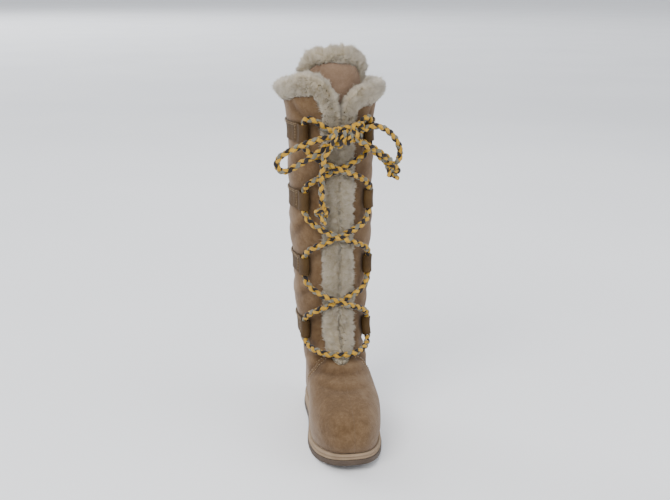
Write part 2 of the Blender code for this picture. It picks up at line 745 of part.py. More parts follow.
def strap_section():
    """The strap seen from above as flat points (run, height, end) and faces. run is a share round the back for the
    band, or a distance from the tube's middle for the tubes, and end says which tube a point belongs to."""
    points, faces = [], []

    def put(run, height, end):
        points.append((run, height, end))
        return len(points) - 1

    tubes = []
    for end in (1, -1):
        outer, inner = [], []
        for k in range(LOOP_SIDES):
            turn = 2 * math.pi * k / LOOP_SIDES
            outer.append(put(LOOP_RADIUS * math.cos(turn), LOOP_RADIUS * (1 + math.sin(turn)), end))
            inner.append(put(LOOP_HOLE * math.cos(turn), LOOP_RADIUS + LOOP_HOLE * math.sin(turn), end))
        for k in range(LOOP_SIDES):
            n = (k + 1) % LOOP_SIDES
            faces.append((outer[k], outer[n], inner[n], inner[k]))
        tubes.append(outer)
    shares = np.linspace(0.035, 0.965, 19)
    low = [put(share, 0.0, 0) for share in shares]
    high = [put(share, STRAP_THICKNESS, 0) for share in shares]
    for a in range(len(shares) - 1):
        faces.append((low[a], low[a + 1], high[a + 1], high[a]))
    nearest = 3 * LOOP_SIDES // 4
    for tube, base, top in ((tubes[0], low[0], high[0]), (tubes[1], low[-1], high[-1])):
        faces.append((base, tube[nearest], tube[nearest - 1]))
        faces.append((base, tube[nearest - 1], tube[nearest - 2]))
        faces.append((base, tube[nearest - 2], top))
    return points, faces


def strap_place(z, run, height, end):
    """A point of the strap's section on the shaft at this height."""
    edge = loop_angle(level_at(z))
    if end == 0:
        angle = edge + run * 2 * (math.pi - edge)
        return skin(level_at(z, angle), angle, STRAP_CLEARANCE + height)
    angle = end * edge
    level = level_at(z, angle)
    normal = outward(level, angle)
    along = suede(level, angle - end * 0.02) - suede(level, angle + end * 0.02)
    along -= (along @ normal) * normal
    along /= np.linalg.norm(along)
    return suede(level, angle) + normal * (STRAP_CLEARANCE + height) + along * run


def build_strap(k, look):
    """One strap round the back of the shaft with a tube for the lace at both its ends."""
    points, faces = strap_section()
    heights = (strap_height(k) - STRAP_HEIGHT / 2, strap_height(k) + STRAP_HEIGHT / 2)
    shape = bmesh.new()
    rows = [[shape.verts.new(strap_place(z, *point)) for point in points] for z in heights]
    bottom, top = rows
    edges = {}
    for face in faces:
        shape.faces.new([bottom[i] for i in face])
        shape.faces.new([top[i] for i in face])
        for a, b in zip(face, face[1:] + face[:1]):
            edges.setdefault(frozenset((a, b)), []).append((a, b))
    for users in edges.values():
        if len(users) == 1:
            a, b = users[0]
            shape.faces.new((bottom[a], bottom[b], top[b], top[a]))
    return mesh_object(f"lace_strap_{k + 1}", shape, look)


# Lace on the shaft
def lace_point(arc, z, out):
    """A point at this height in front of the upper, this far round from the middle and this far outside."""
    angle = angle_at(arc, level_at(z))
    return skin(level_at(z, angle), angle, out)


def lace_line(start, end, lift, bump):
    """The lace's own line between two loops, each (side, height, pull). It leaves and enters them upright, pull says
    how far up or down it is led there, and bump is how much further out it lies in the middle."""
    line = []
    (side_a, z_a, pull_a), (side_b, z_b, pull_b) = start, end
    for t in np.linspace(0.0, 1.0, 15):
        weights = ((1 - t) ** 3, 3 * t * (1 - t) ** 2, 3 * t * t * (1 - t), t ** 3)
        sides = (side_a, side_a * 0.94, side_b * 0.94, side_b)
        heights = (z_a, z_a + pull_a, z_b + pull_b, z_b)
        arc = LOOP_ARC * sum(w * side for w, side in zip(weights, sides))
        z = sum(w * height for w, height in zip(weights, heights))
        over = smooth_step(min(t, 1 - t), 0.0, 0.30)
        out = LOOP_MIDDLE + (lift - LOOP_MIDDLE) * over + bump * math.exp(-((t - 0.5) / 0.14) ** 2)
        line.append(lace_point(arc, z, out))
    return line


def lace_tube(name, line, look):
    return closed_loft(name, tube_rings(line, LACE_DIAMETER / 2, LACE_SIDES), look)


def build_crossing(k, look):
    """The two runs that cross between one pair of loops and the next, joined where they meet."""
    leave = strap_height(k) - STRAP_HEIGHT / 2 - LACE_CLEARANCE
    arrive = strap_height(k + 1) + STRAP_HEIGHT / 2 + LACE_CLEARANCE
    down, up = -LACE_DROP, LACE_DROP
    over_line = lace_line((-1, leave, down), (1, arrive, up), LACE_LIFT, CROSSING_BUMP)
    under_line = lace_line((1, leave, down), (-1, arrive, up), LACE_LIFT, 0.0)
    over = lace_tube(f"lace_crossing_{k + 1}", over_line, look)
    return joined(over, lace_tube(f"under_run_{k + 1}", under_line, look))


def build_bottom_bar(look):
    """The bar that starts the lacing: it hangs between the mouths of the lowest loops."""
    leave = strap_height(STRAP_COUNT - 1) - STRAP_HEIGHT / 2 - LACE_CLEARANCE
    line = lace_line((-1, leave, -LACE_DROP), (1, leave, -LACE_DROP), LOOP_MIDDLE + BAR_LIFT, 0.0)
    return lace_tube("lace_bottom_bar", line, look)


def build_top_runs(look):
    """The two runs from the top loops to the bow, crossed once under it and joined there."""
    z_loop = strap_height(0) + STRAP_HEIGHT / 2
    tubes = []
    for name, route in (("lace_top_runs", LEFT_TOP_RUN), ("top_run_right", RIGHT_TOP_RUN)):
        line = []
        for share, rise, more in smooth_route(route, 0.35):
            line.append(lace_point(LOOP_ARC * share, z_loop + rise * ROUTE_UNIT, LOOP_MIDDLE + more * ROUTE_UNIT))
        tubes.append(lace_tube(name, line, look))
    return joined(*tubes)


# Bow
def build_knot(look):
    """The bow's knot: a wrapped lump with three turns standing out of it."""
    rings = []
    for t in np.linspace(-1, 1, 13):
        turn_height = KNOT_TURN * math.cos(3 * math.pi * t)
        radius = (KNOT_RADIUS - KNOT_TURN) * math.sqrt(max(1 - t * t, 0.02)) ** 0.8 + turn_height
        ring = []
        for k in range(9):
            a = 2 * math.pi * k / 9
            ring.append((
                KNOT_CENTRE[0] + KNOT_HALF_LENGTH * t + KNOT_TURN * math.cos(a),
                KNOT_CENTRE[1] + 0.76 * radius * math.cos(a),
                KNOT_CENTRE[2] + KNOT_TILT * t + radius * math.sin(a),
            ))
        rings.append(ring)
    return closed_loft("bow_knot", rings, look)


def from_knot(place):
    """A place of a hand-drawn route, in metres."""
    return [k + ROUTE_UNIT * p for k, p in zip(KNOT_CENTRE, place)]


def build_end_knot(name, place, look):
    """The stopper knot at the end of a lace, with its cut tail below."""
    centre = from_knot(place)
    rings = []
    for t in np.linspace(0, 1, 9):
        radius = END_KNOT_RADIUS * math.sin(math.pi * min(t / 0.72, 1.0) * 0.86 + 0.25)
        radius = max(radius, END_TAIL_RADIUS)
        rings.append([
            (
                centre[0] + radius * math.cos(2 * math.pi * k / 10),
                centre[1] + 0.8 * radius * math.sin(2 * math.pi * k / 10),
                centre[2] - END_KNOT_LENGTH * t,
            )
            for k in range(10)
        ])
    return closed_loft(name, rings, look)


def main():
    for obj in list(bpy.data.objects):
        bpy.data.objects.remove(obj)
    suede_look = material("suede", (0.45, 0.33, 0.24), 0.95)
    wool_look = material("wool", (0.62, 0.58, 0.50), 1.0)
    strap_look = material("strap leather", (0.36, 0.27, 0.16), 0.7)
    lace_look = material("braided lace", (0.62, 0.42, 0.12), 0.8)
    foam_look = material("midsole foam", (0.30, 0.22, 0.15), 0.8)
    rubber_look = material("outsole rubber", (0.10, 0.07, 0.05), 0.7)
    insole_look = material("insole fleece", (0.60, 0.56, 0.48), 1.0)

    build_outsole(rubber_look)
    build_midsole(foam_look)
    build_insole(insole_look)
    thick_sheet("upper", upper_grid(), WALL, suede_look)
    build_tongue(suede_look)
    build_tongue_wool(wool_look)
    build_collar_wool(wool_look)
    build_throat_wool(-1, "throat_wool_inner", wool_look)
    build_throat_wool(1, "throat_wool_outer", wool_look)
    for k in range(STRAP_COUNT):
        build_strap(k, strap_look)
    for k in range(STRAP_COUNT - 1):
        build_crossing(k, lace_look)
    build_bottom_bar(lace_look)
    build_top_runs(lace_look)
    build_knot(lace_look)
    cord_object("bow_loop_inner", LEFT_BOW, lace_look)
    cord_object("bow_loop_outer", RIGHT_BOW, lace_look)
    cord_object("lace_end_inner", LEFT_END, lace_look)
    cord_object("lace_end_outer", RIGHT_END, lace_look)
    build_end_knot("end_knot_inner", LEFT_STOP, lace_look)
    build_end_knot("end_knot_outer", RIGHT_STOP, lace_look)


main()
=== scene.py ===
"""Knee-high shearling mukluk boot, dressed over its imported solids: a left boot in metres, toe towards -Y."""

import math

import bmesh
import bpy
import numpy as np
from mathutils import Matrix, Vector
from mathutils.kdtree import KDTree


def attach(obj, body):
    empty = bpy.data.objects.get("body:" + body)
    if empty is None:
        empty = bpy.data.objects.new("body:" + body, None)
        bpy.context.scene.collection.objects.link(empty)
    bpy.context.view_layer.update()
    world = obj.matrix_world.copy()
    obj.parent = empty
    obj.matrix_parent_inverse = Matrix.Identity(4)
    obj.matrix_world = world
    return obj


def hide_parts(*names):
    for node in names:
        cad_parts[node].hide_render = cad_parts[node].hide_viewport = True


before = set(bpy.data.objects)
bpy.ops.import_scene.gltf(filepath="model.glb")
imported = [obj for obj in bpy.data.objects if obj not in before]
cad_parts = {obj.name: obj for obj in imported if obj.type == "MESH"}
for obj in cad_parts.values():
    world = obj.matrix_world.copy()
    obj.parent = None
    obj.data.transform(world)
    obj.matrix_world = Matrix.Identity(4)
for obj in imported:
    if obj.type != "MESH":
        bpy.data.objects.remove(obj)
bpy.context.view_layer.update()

# Sizes, the same as the part's own
GAP = 0.0003
FOOT_LENGTH = 0.264
HEEL_BACK = 0.066
BALL_WIDTH = 0.101
TOE_SWING = 0.006
ANKLE_HEIGHT = 0.140
ANKLE_TILT = 0.005
SHAFT_HEIGHT = 0.450
COLLAR_WIDTH = 0.125
COLLAR_DEPTH = 0.120
WALL = 0.003
HEEL_STACK = 0.022
BALL_STACK = 0.015
TOE_SPRING = 0.010
SOLE_EDGE = 0.0015
SIDE_GROOVE = 0.0026
ARCH_RISE = 0.004
OUTSOLE_THICKNESS = 0.0075
SOLE_MARGIN = 0.0045
LUG_DEPTH = 0.003
LUG_PITCH = 0.0135
GROOVE_WIDTH = 0.0042
INSOLE_THICKNESS = 0.004
THROAT_HALF = 0.0205
THROAT_BOTTOM = 0.104
THROAT_ROUND = 0.030
CORNER_RADIUS = 0.020
LEFT_CORNER_RISE = 0.008
RIGHT_CORNER_DROP = 0.007
STRIP_TOP = SHAFT_HEIGHT - CORNER_RADIUS - RIGHT_CORNER_DROP - 0.002
STRIP_MEETING_SHIFT = 0.006
STRIP_MEETING_RISE = 0.012
STRIP_PROUD = 0.0045
COLLAR_WOOL_REACH = 0.021
CORNER_WOOL_REACH = 0.006
COLLAR_WOOL_IN = 0.010
COLLAR_WOOL_OUT = 0.0075
TONGUE_WOOL_REACH = 0.017
TONGUE_WOOL_HALF = 0.0065
TONGUE_DEPTH = 0.0145
TONGUE_SINK_START = 0.006
TONGUE_SINK_LENGTH = 0.069
TONGUE_BOTTOM = THROAT_BOTTOM + 0.003
TONGUE_STRAIGHT = 0.045
TONGUE_SHOULDER = SHAFT_HEIGHT - 0.004
TONGUE_TOP = SHAFT_HEIGHT + 0.048
TONGUE_HALF_ANGLE = math.radians(68)
TONGUE_WALL = 0.003
STRAP_COUNT = 4
STRAP_TOP = SHAFT_HEIGHT - 0.041
STRAP_BOTTOM = ANKLE_HEIGHT - 0.001
STRAP_PITCH = (STRAP_TOP - STRAP_BOTTOM) / (STRAP_COUNT - 1)
STRAP_HEIGHT = 0.026
STRAP_PULL = 0.0020
STRAP_PULL_FADE = 0.020
STRAP_CLEARANCE = 0.0012
LOOP_ARC = 0.043
LOOP_RADIUS = 0.0066
LACE_LIFT = 0.0122
LACE_DROP = 0.020
LACE_CLEARANCE = 0.0012
BAR_LIFT = 0.002
LOOP_MIDDLE = STRAP_CLEARANCE + LOOP_RADIUS
KNOT_CENTRE = (0.006, -0.0825, STRAP_TOP - 0.0005)
ROUTE_UNIT = 0.010

# Back, back height, front, front height, width, fullness and plan, from the feather line up to the bend
FOOT_SECTIONS = (
    (0.020, None, 0.985, None, 0.950, 0.66, 1.00),
    (0.003, 0.225, 1.000, 0.255, 1.000, 0.66, 1.00),
    (0.000, 0.320, 1.000, 0.356, 1.005, 0.68, 1.00),
    (0.003, 0.410, 0.970, 0.455, 0.980, 0.72, 0.90),
    (0.010, 0.495, 0.888, 0.540, 0.935, 0.78, 0.75),
    (0.020, 0.585, 0.755, 0.622, 0.885, 0.84, 0.55),
    (0.031, 0.685, 0.622, 0.730, 0.860, 0.92, 0.30),
    (0.040, 0.800, 0.532, 0.870, 0.870, 1.00, 0.10),
)
# Height, depth, width and lean, from the ankle up to the collar
SHAFT_SECTIONS = (
    (0.00, 0.945, 0.755, 0.025), (0.11, 0.925, 0.790, 0.015), (0.25, 0.930, 0.830, 0.008),
    (0.45, 0.945, 0.885, 0.004), (0.64, 0.950, 0.912, 0.002), (0.80, 0.945, 0.918, 0.000),
    (0.91, 0.960, 0.950, 0.000), (1.00, 1.000, 1.000, 0.000),
)
PLAN_LENGTHS = (0.00, 0.15, 0.34, 0.50, 0.68, 0.84, 1.00)
PLAN_OUTER = (0.80, 0.80, 0.82, 0.90, 1.00, 0.96, 0.86)
PLAN_INNER = (0.80, 0.78, 0.71, 0.78, 0.97, 1.02, 0.95)

# The lace's routes from the knot's centre in ROUTE_UNIT, and the top runs' share, rise and lift
LEFT_BOW = (
    (-2.29, 0.17, -0.11), (-3.4, 0.05, -0.25), (-4.2, 0.0, -0.45), (-5.4, 0.05, -0.85),
    (-6.6, 0.3, -1.40), (-7.75, 0.65, -1.98), (-8.50, 0.98, -2.58), (-8.82, 1.2, -3.42),
    (-8.52, 1.3, -4.20), (-7.76, 1.22, -4.43), (-6.95, 1.02, -4.05), (-6.05, 0.8, -3.5),
    (-5.0, 0.55, -2.9), (-4.0, 0.4, -2.3), (-3.3, 0.33, -1.75), (-2.45, 0.3, -1.05),
)
RIGHT_BOW = (
    (2.28, 0.19, 0.73), (3.2, 0.45, 1.05), (4.1, 0.7, 1.1), (5.1, 1.05, 0.75), (6.0, 1.45, 0.1),
    (6.8, 1.85, -0.75), (7.4, 2.2, -1.75), (7.62, 2.45, -2.75), (7.42, 2.55, -3.72),
    (6.75, 2.5, -4.28), (5.98, 2.3, -4.05), (5.25, 2.0, -3.45), (4.5, 1.6, -2.75),
    (3.7, 1.2, -2.05), (2.9, 0.8, -1.4), (2.15, 0.4, -0.75),
)
LEFT_END = (
    (-2.02, -0.65, -1.02), (-2.63, -0.68, -1.8), (-2.92, -0.5, -2.5), (-3.05, -0.2, -3.25),
    (-3.12, 0.1, -4.25), (-3.18, 0.3, -5.25), (-3.2, 0.4, -6.25), (-3.18, 0.5, -7.25),
    (-3.12, 0.6, -8.25), (-3.05, 0.7, -9.2),
)
RIGHT_END = (
    (1.48, -0.7, -0.62), (2.45, -0.65, -1.1), (3.3, -0.3, -1.45), (4.2, 0.1, -2.05),
    (5.1, 0.57, -2.7), (5.8, 0.97, -3.2), (6.18, 1.2, -3.7),
)
LEFT_STOP = (-3.05, 0.70, -9.25)
RIGHT_STOP = (6.30, 1.28, -3.93)
LEFT_TOP_RUN = (
    (-1.0, 0.12, 0.0), (-0.97, 0.55, 0.05), (-0.85, 0.8, 0.15), (-0.6, 0.55, 0.4), (-0.3, -0.4, 0.6),
    (0.0, -1.0, 0.65), (0.2, -1.2, 0.65),
)
RIGHT_TOP_RUN = (
    (1.0, 0.12, 0.0), (0.97, 0.55, 0.05), (0.85, 0.85, 0.15), (0.62, 0.5, 0.4), (0.4, -0.3, 0.6),
    (0.2, -0.9, 0.65), (-0.05, -1.2, 0.65),
)

# Braid: four strands, two turning each way
BRAID_TURN = 0.0240
BRAID_REACH = 0.00225
BRAID_WEAVE = 0.00085
STRAND_WIDE = 0.00235
STRAND_THICK = 0.00120
STRAND_SIDES = 8
BRAID_STEP = 0.00115

# The lace's tails and steps, seams, wool and straps
LEFT_TAIL = ((0.0015, -0.002, -0.0095), (0.0040, -0.002, -0.0140))
RIGHT_TAIL = ((0.0040, -0.001, -0.0085), (0.0090, -0.001, -0.0125))
LACE_STEP = 0.003
LACE_OVER = 0.0042
LACE_UNDER = -0.0026
STITCH_GAP = 0.0011
VAMP_SEAM_WIDE = 0.0034
VAMP_SEAM_THICK = 0.0008
STRIP_SIDES = 20
COLLAR_SIDES = 26
TONGUE_SIDES = 24
LINING_BOTTOM = 0.150
LOCK_SIDES = 3
TUFT_SPREAD = 0.19
LOCK_SPREAD = 0.20
LEATHER_THICK = 0.0016
FOLD_TAIL = 0.021
# Shares of the midsole's height, and of the side groove's depth there
MIDSOLE_SIDE = ((0.00, 0.20, 0.42, 0.54, 0.62, 0.88, 1.00), (0.60, 0.25, 1.00, 1.00, 0.40, 0.55, 1.00))
# A strap's outer layer behind its loop: distance from the loop's middle, and height over the clearance
OUTER_LAYER = (
    (0.0050, 0.0100), (0.0070, 0.0074), (0.0092, 0.0050), (0.0115, 0.0033), (0.0140, 0.0024),
    (0.0170, 0.0020), (0.0205, 0.0018), (0.0235, 0.0011), (0.0270, 0.0002),
)
# Name, place, aim, width and height, power and colour
LIGHTS = (
    ("key", (-1.3, -1.6, 2.1), (0, 0, 0.25), (1.5, 1.2), 64.0, (1.0, 0.985, 0.96)),
    ("fill", (1.9, -1.1, 1.2), (0, 0, 0.25), (1.6, 1.6), 22.0, (0.97, 0.98, 1.0)),
    ("rim", (0.5, 1.9, 1.9), (0, 0, 0.3), (1.8, 1.0), 16.0, (0.97, 0.98, 1.0)),
    ("backdrop", (-5.0, 12.0, 8.0), (-3.0, 9.0, 0.0), (12.0, 9.0), 1700.0, (0.94, 0.965, 1.0)),
)

# The photograph's angle to the boot, far enough back for the whole boot
CAMERA_AZIMUTH = math.radians(-11.0)
CAMERA_ELEVATION = math.radians(15.5)
CAMERA_DISTANCE = 1.30
CAMERA_AIM = (-0.002, -0.045, 0.250)
CAMERA_LENS = 52.0


# Curves and lines
def curve_through(knots, values, at):
    """A smooth curve through (knots, values), read at one or many places. Slopes come from the neighbours."""
    knots, values, at = np.asarray(knots, float), np.asarray(values, float), np.asarray(at, float)
    count = len(knots)
    ahead, behind = np.minimum(np.arange(count) + 1, count - 1), np.maximum(np.arange(count) - 1, 0)
    widths = (knots[ahead] - knots[behind]).reshape((-1,) + (1,) * (values.ndim - 1))
    slopes = (values[ahead] - values[behind]) / widths
    i = np.clip(np.searchsorted(knots, at, "left") - 1, 0, count - 2)
    shape = at.shape + (1,) * (values.ndim - 1)
    span = (knots[i + 1] - knots[i]).reshape(shape)
    t = (at - knots[i]).reshape(shape) / span
    t2, t3 = t * t, t * t * t
    return (
        (2 * t3 - 3 * t2 + 1) * values[i] + (t3 - 2 * t2 + t) * span * slopes[i]
        + (3 * t2 - 2 * t3) * values[i + 1] + (t3 - t2) * span * slopes[i + 1]
    )


def smooth_step(value, low, high):
    t = np.clip((np.asarray(value, float) - low) / (high - low), 0.0, 1.0)
    return t * t * (3 - 2 * t)


def unit(vectors):
    return vectors / np.maximum(np.linalg.norm(vectors, axis=-1, keepdims=True), 1e-12)


def travelled(line):
    """The distance along a line at each of its points."""
    return np.concatenate(([0.0], np.cumsum(np.linalg.norm(np.diff(line, axis=0), axis=1))))


def read_along(line, values, at):
    """Values given at a line's points, read at these distances along it."""
    along = travelled(line)
    return np.stack([np.interp(at, along, column) for column in values.T], axis=1)


def evenly(points, step):
    """Points this far apart along a smooth curve through the given ones."""
    points = np.array(points, float)
    along = travelled(points)
    fine = curve_through(along, points, np.linspace(0.0, along[-1], 12 * len(points)))
    length = travelled(fine)[-1]
    return read_along(fine, fine, np.linspace(0.0, length, max(4, round(length / step) + 1)))


def waves(points, scale, seed):
    """A smooth random field from -1 to 1 over points, of about this size in metres, the same on every run."""
    points = np.asarray(points, float)
    picker = np.random.default_rng(seed)
    total = np.zeros(points.shape[:-1])
    for _ in range(14):
        direction = unit(picker.normal(size=3))
        size = scale * picker.uniform(0.6, 1.6)
        total += np.sin(points @ direction * (2 * math.pi / size) + picker.uniform(0, 2 * math.pi))
    return total / 14 ** 0.5 / 1.4


# The last's shape
def tread(s):
    arch = ARCH_RISE * smooth_step(s, 0.30, 0.42) * (1 - smooth_step(s, 0.44, 0.60))
    return arch + TOE_SPRING * np.maximum(0.0, (s - 0.78) / 0.22) ** 1.6


def foot_bed(s):
    stack = HEEL_STACK + (BALL_STACK - HEEL_STACK) * smooth_step(s, 0.22, 0.68)
    return stack + TOE_SPRING * np.maximum(0.0, (s - 0.72) / 0.28) ** 1.5


def section_rows():
    rows = []
    for back, back_height, front, front_height, width, fullness, plan in FOOT_SECTIONS:
        back_z = foot_bed(0) + 1.5 * GAP if back_height is None else back_height * ANKLE_HEIGHT
        front_z = foot_bed(1) + 1.5 * GAP if front_height is None else front_height * ANKLE_HEIGHT
        rows.append((
            HEEL_BACK - back * FOOT_LENGTH, back_z, HEEL_BACK - front * FOOT_LENGTH, front_z,
            width * BALL_WIDTH, fullness, plan,
        ))
    for height, depth, width, lean in SHAFT_SECTIONS:
        z = ANKLE_HEIGHT + height * (SHAFT_HEIGHT - ANKLE_HEIGHT)
        half, centre = depth * COLLAR_DEPTH / 2, -lean * COLLAR_DEPTH
        rise = ANKLE_TILT * max(0.0, 1 - height / 0.25)
        rows.append((centre + half, z - rise, centre - half, z + rise, width * COLLAR_WIDTH, 1.0, 0.0))
    return np.array(rows, float)


ROWS = section_rows()
LEVELS = np.arange(len(ROWS), dtype=float)
TOP_LEVEL = float(LEVELS[-1])
ANKLE_LEVEL = float(len(FOOT_SECTIONS))


def strap_height(k):
    return STRAP_TOP - k * STRAP_PITCH


def pull(z):
    """How far the straps draw the suede in."""
    above = smooth_step(z, ANKLE_HEIGHT - STRAP_PULL_FADE, ANKLE_HEIGHT)
    inside = above * (1 - smooth_step(z, STRAP_TOP, SHAFT_HEIGHT))
    return STRAP_PULL * inside * np.cos(math.pi * (z - STRAP_TOP) / STRAP_PITCH) ** 4


def suede(level, angle):
    """Points on the upper's outside, at angles from the toe over the wearer's left. The heel is half a turn."""
    level, angle = np.broadcast_arrays(np.asarray(level, float), np.asarray(angle, float))
    row = curve_through(LEVELS, ROWS, level)
    back_y, back_z, front_y, front_z, width = (row[..., k] for k in range(5))
    fullness, plan = np.minimum(row[..., 5], 1.0), np.clip(row[..., 6], 0.0, 1.0)
    s = (1 + np.cos(angle)) / 2
    side = np.where(np.sin(angle) >= 0, 1.0, -1.0)
    outer, inner = (curve_through(PLAN_LENGTHS, plan_side, s) for plan_side in (PLAN_OUTER, PLAN_INNER))
    z = back_z + s * (front_z - back_z)
    drawn_in = pull(z)
    half = width / 2 * (1 + plan * (np.where(side > 0, outer, inner) - 1)) - drawn_in
    bed = foot_bed(s) - foot_bed(0) - s * (foot_bed(1) - foot_bed(0))
    return np.stack((
        side * half * np.abs(np.sin(angle)) ** fullness - TOE_SWING * plan * s * s,
        back_y + s * (front_y - back_y) + drawn_in * np.cos(angle),
        z + bed * np.maximum(0.0, 1 - level / 3) ** 2,
    ), axis=-1)


def outward(level, angle):
    low, high = np.maximum(level - 0.05, 0.0), np.minimum(level + 0.05, TOP_LEVEL)
    along = suede(high, angle) - suede(low, angle)
    across = suede(level, np.asarray(angle) + 0.02) - suede(level, np.asarray(angle) - 0.02)
    return unit(np.cross(across, along))


def skin(level, angle, out=0.0):
    return suede(level, angle) + np.asarray(out)[..., None] * outward(level, angle)


def level_at(z, angle=0.0):
    """The level whose section passes these heights at these angles, above the instep."""
    z, angle = np.broadcast_arrays(np.asarray(z, float), np.asarray(angle, float))
    low, high = np.full(z.shape, ANKLE_LEVEL - 3), np.full(z.shape, TOP_LEVEL)
    for _ in range(30):
        middle = (low + high) / 2
        under = suede(middle, angle)[..., 2] < z
        low, high = np.where(under, middle, low), np.where(under, high, middle)
    return (low + high) / 2


def signed(angle):
    """The angle from the toe, negative on the wearer's right."""
    return (angle + math.pi) % (2 * math.pi) - math.pi


def angle_at(arc, level):
    return arc / (curve_through(LEVELS, ROWS, level)[..., 4] / 2)


def throat_half(z):
    t = np.clip((np.asarray(z, float) - THROAT_BOTTOM) / THROAT_ROUND, 0.0, 1.0)
    return THROAT_HALF * np.sqrt(1 - (1 - t) ** 2)


def throat_angle(level):
    return angle_at(throat_half(suede(level, 0.0)[..., 2]), level)


def round_back(level, shares):
    """Angles from one edge of the throat round the back to the other, and how far each is from its edge."""
    edge = throat_angle(level)
    reach = np.minimum(shares, 1 - shares) * 2 * math.pi * COLLAR_WIDTH / 2
    return edge + shares * 2 * (math.pi - edge), reach


def collar_height(angle, arc_from_edge):
    turn = signed(angle)
    lean = np.where(turn < 0, LEFT_CORNER_RISE, -RIGHT_CORNER_DROP)
    wave = lean * np.exp(-((np.abs(turn) - 0.55) / 0.5) ** 2)
    inside = np.clip(arc_from_edge / CORNER_RADIUS, 0.0, 1.0)
    return SHAFT_HEIGHT + wave - CORNER_RADIUS * (1 - np.sqrt(1 - (1 - inside) ** 2))


def ease_round(c):
    return c - 0.3 / (4 * math.pi) * np.sin(4 * math.pi * c)


def tongue_depth(z):
    start = THROAT_BOTTOM + TONGUE_SINK_START
    sunk = smooth_step(z, start, start + TONGUE_SINK_LENGTH)
    return WALL + 4 * GAP + (TONGUE_DEPTH - WALL - 4 * GAP) * sunk


def tongue_point(z, angle, depth_more=0.0):
    """Points on the tongue's front, which goes straight up where the shaft flares."""
    straight_from = SHAFT_HEIGHT - TONGUE_STRAIGHT
    point = skin(level_at(np.minimum(z, straight_from)), angle, -tongue_depth(z) - depth_more)
    point[..., 2] += np.maximum(z - straight_from, 0.0)
    return point


def tongue_rim(u):
    return TONGUE_SHOULDER + (TONGUE_TOP - TONGUE_SHOULDER) * np.sqrt(np.maximum(0.0, 1 - np.abs(u) ** 3.0))


def tongue_half_angle(z):
    widening = smooth_step(z, TONGUE_BOTTOM, (TONGUE_BOTTOM + SHAFT_HEIGHT) / 2)
    return TONGUE_HALF_ANGLE * (0.62 + 0.38 * widening)


# Meshes
def linked(name, data):
    """A new object in the scene."""
    made = bpy.data.objects.new(name, data)
    bpy.context.scene.collection.objects.link(made)
    return made


def aimed(name, data, place, aim):
    """A camera or a light at one place, turned towards another."""
    made = linked(name, data)
    made.location = place
    made.rotation_mode = "QUATERNION"
    made.rotation_quaternion = (Vector(aim) - Vector(place)).to_track_quat("-Z", "Y")
    return made


def add_object(name, points, faces, looks, indices=None, smooth=True):
    mesh = bpy.data.meshes.new(name)
    points = np.asarray(points, float).reshape(-1, 3)
    mesh.from_pydata(points.tolist(), [], [tuple(int(i) for i in face) for face in faces])
    for look in looks:
        mesh.materials.append(look)
    if indices is not None:
        mesh.polygons.foreach_set("material_index", np.asarray(indices, np.int32))
    if smooth:
        mesh.shade_smooth()
    mesh.update()
    return linked(name, mesh)


def add_field(made, name, values):
    """A value at each point of a mesh, for its material to read."""
    field = made.data.attributes.new(name, "FLOAT", "POINT")
    field.data.foreach_set("value", np.asarray(values, np.float32).reshape(-1))


def dressed(piece, slot, *nodes):
    """The piece rides with the boot and stands for these nodes. Its slot is not used."""
    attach(piece, "root")
    if nodes:
        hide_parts(*nodes)
    return piece


def grid_faces(rows, columns, closed, start=0):
    i, j = np.meshgrid(np.arange(rows - 1), np.arange(columns if closed else columns - 1), indexing="ij")
    k = (j + 1) % columns
    quad = (i * columns + j, i * columns + k, (i + 1) * columns + k, (i + 1) * columns + j)
    return np.stack(quad, axis=-1).reshape(-1, 4) + start


def tube_faces(rows, columns, start=0):
    """The faces of a tube of rings, with both ends closed."""
    ring = [start + k for k in range(columns)]
    last = [k + (rows - 1) * columns for k in ring]
    return grid_faces(rows, columns, True, start).tolist() + [ring[::-1], last]


def grid_normals(grid, closed):
    """Unit normals of a grid of points, rows by columns."""
    across = np.roll(grid, -1, axis=1) - np.roll(grid, 1, axis=1) if closed else np.gradient(grid, axis=1)
    return unit(np.cross(across, np.gradient(grid, axis=0)))


def rings_round(line, side, up, wide, high, count):
    """Rings of this many points round a line, wide to its side and high along its up."""
    turn = 2 * math.pi * np.arange(count) / count
    wide, high = (np.broadcast_to(size, len(line))[:, None] for size in (wide, high))
    return (
        line[:, None, :] + (wide * np.cos(turn))[..., None] * side[:, None, :]
        + (high * np.sin(turn))[..., None] * up[:, None, :]
    )


def frames_along(line):
    """Sides and ups along a line, without twist."""
    tangents = unit(np.gradient(line, axis=0))
    side = np.cross(tangents[0], (0.0, -1.0, 0.1))
    sides = []
    for tangent in tangents:
        side = side - (side @ tangent) * tangent
        side = side / np.linalg.norm(side)
        sides.append(side)
    return np.array(sides), np.cross(tangents, sides)


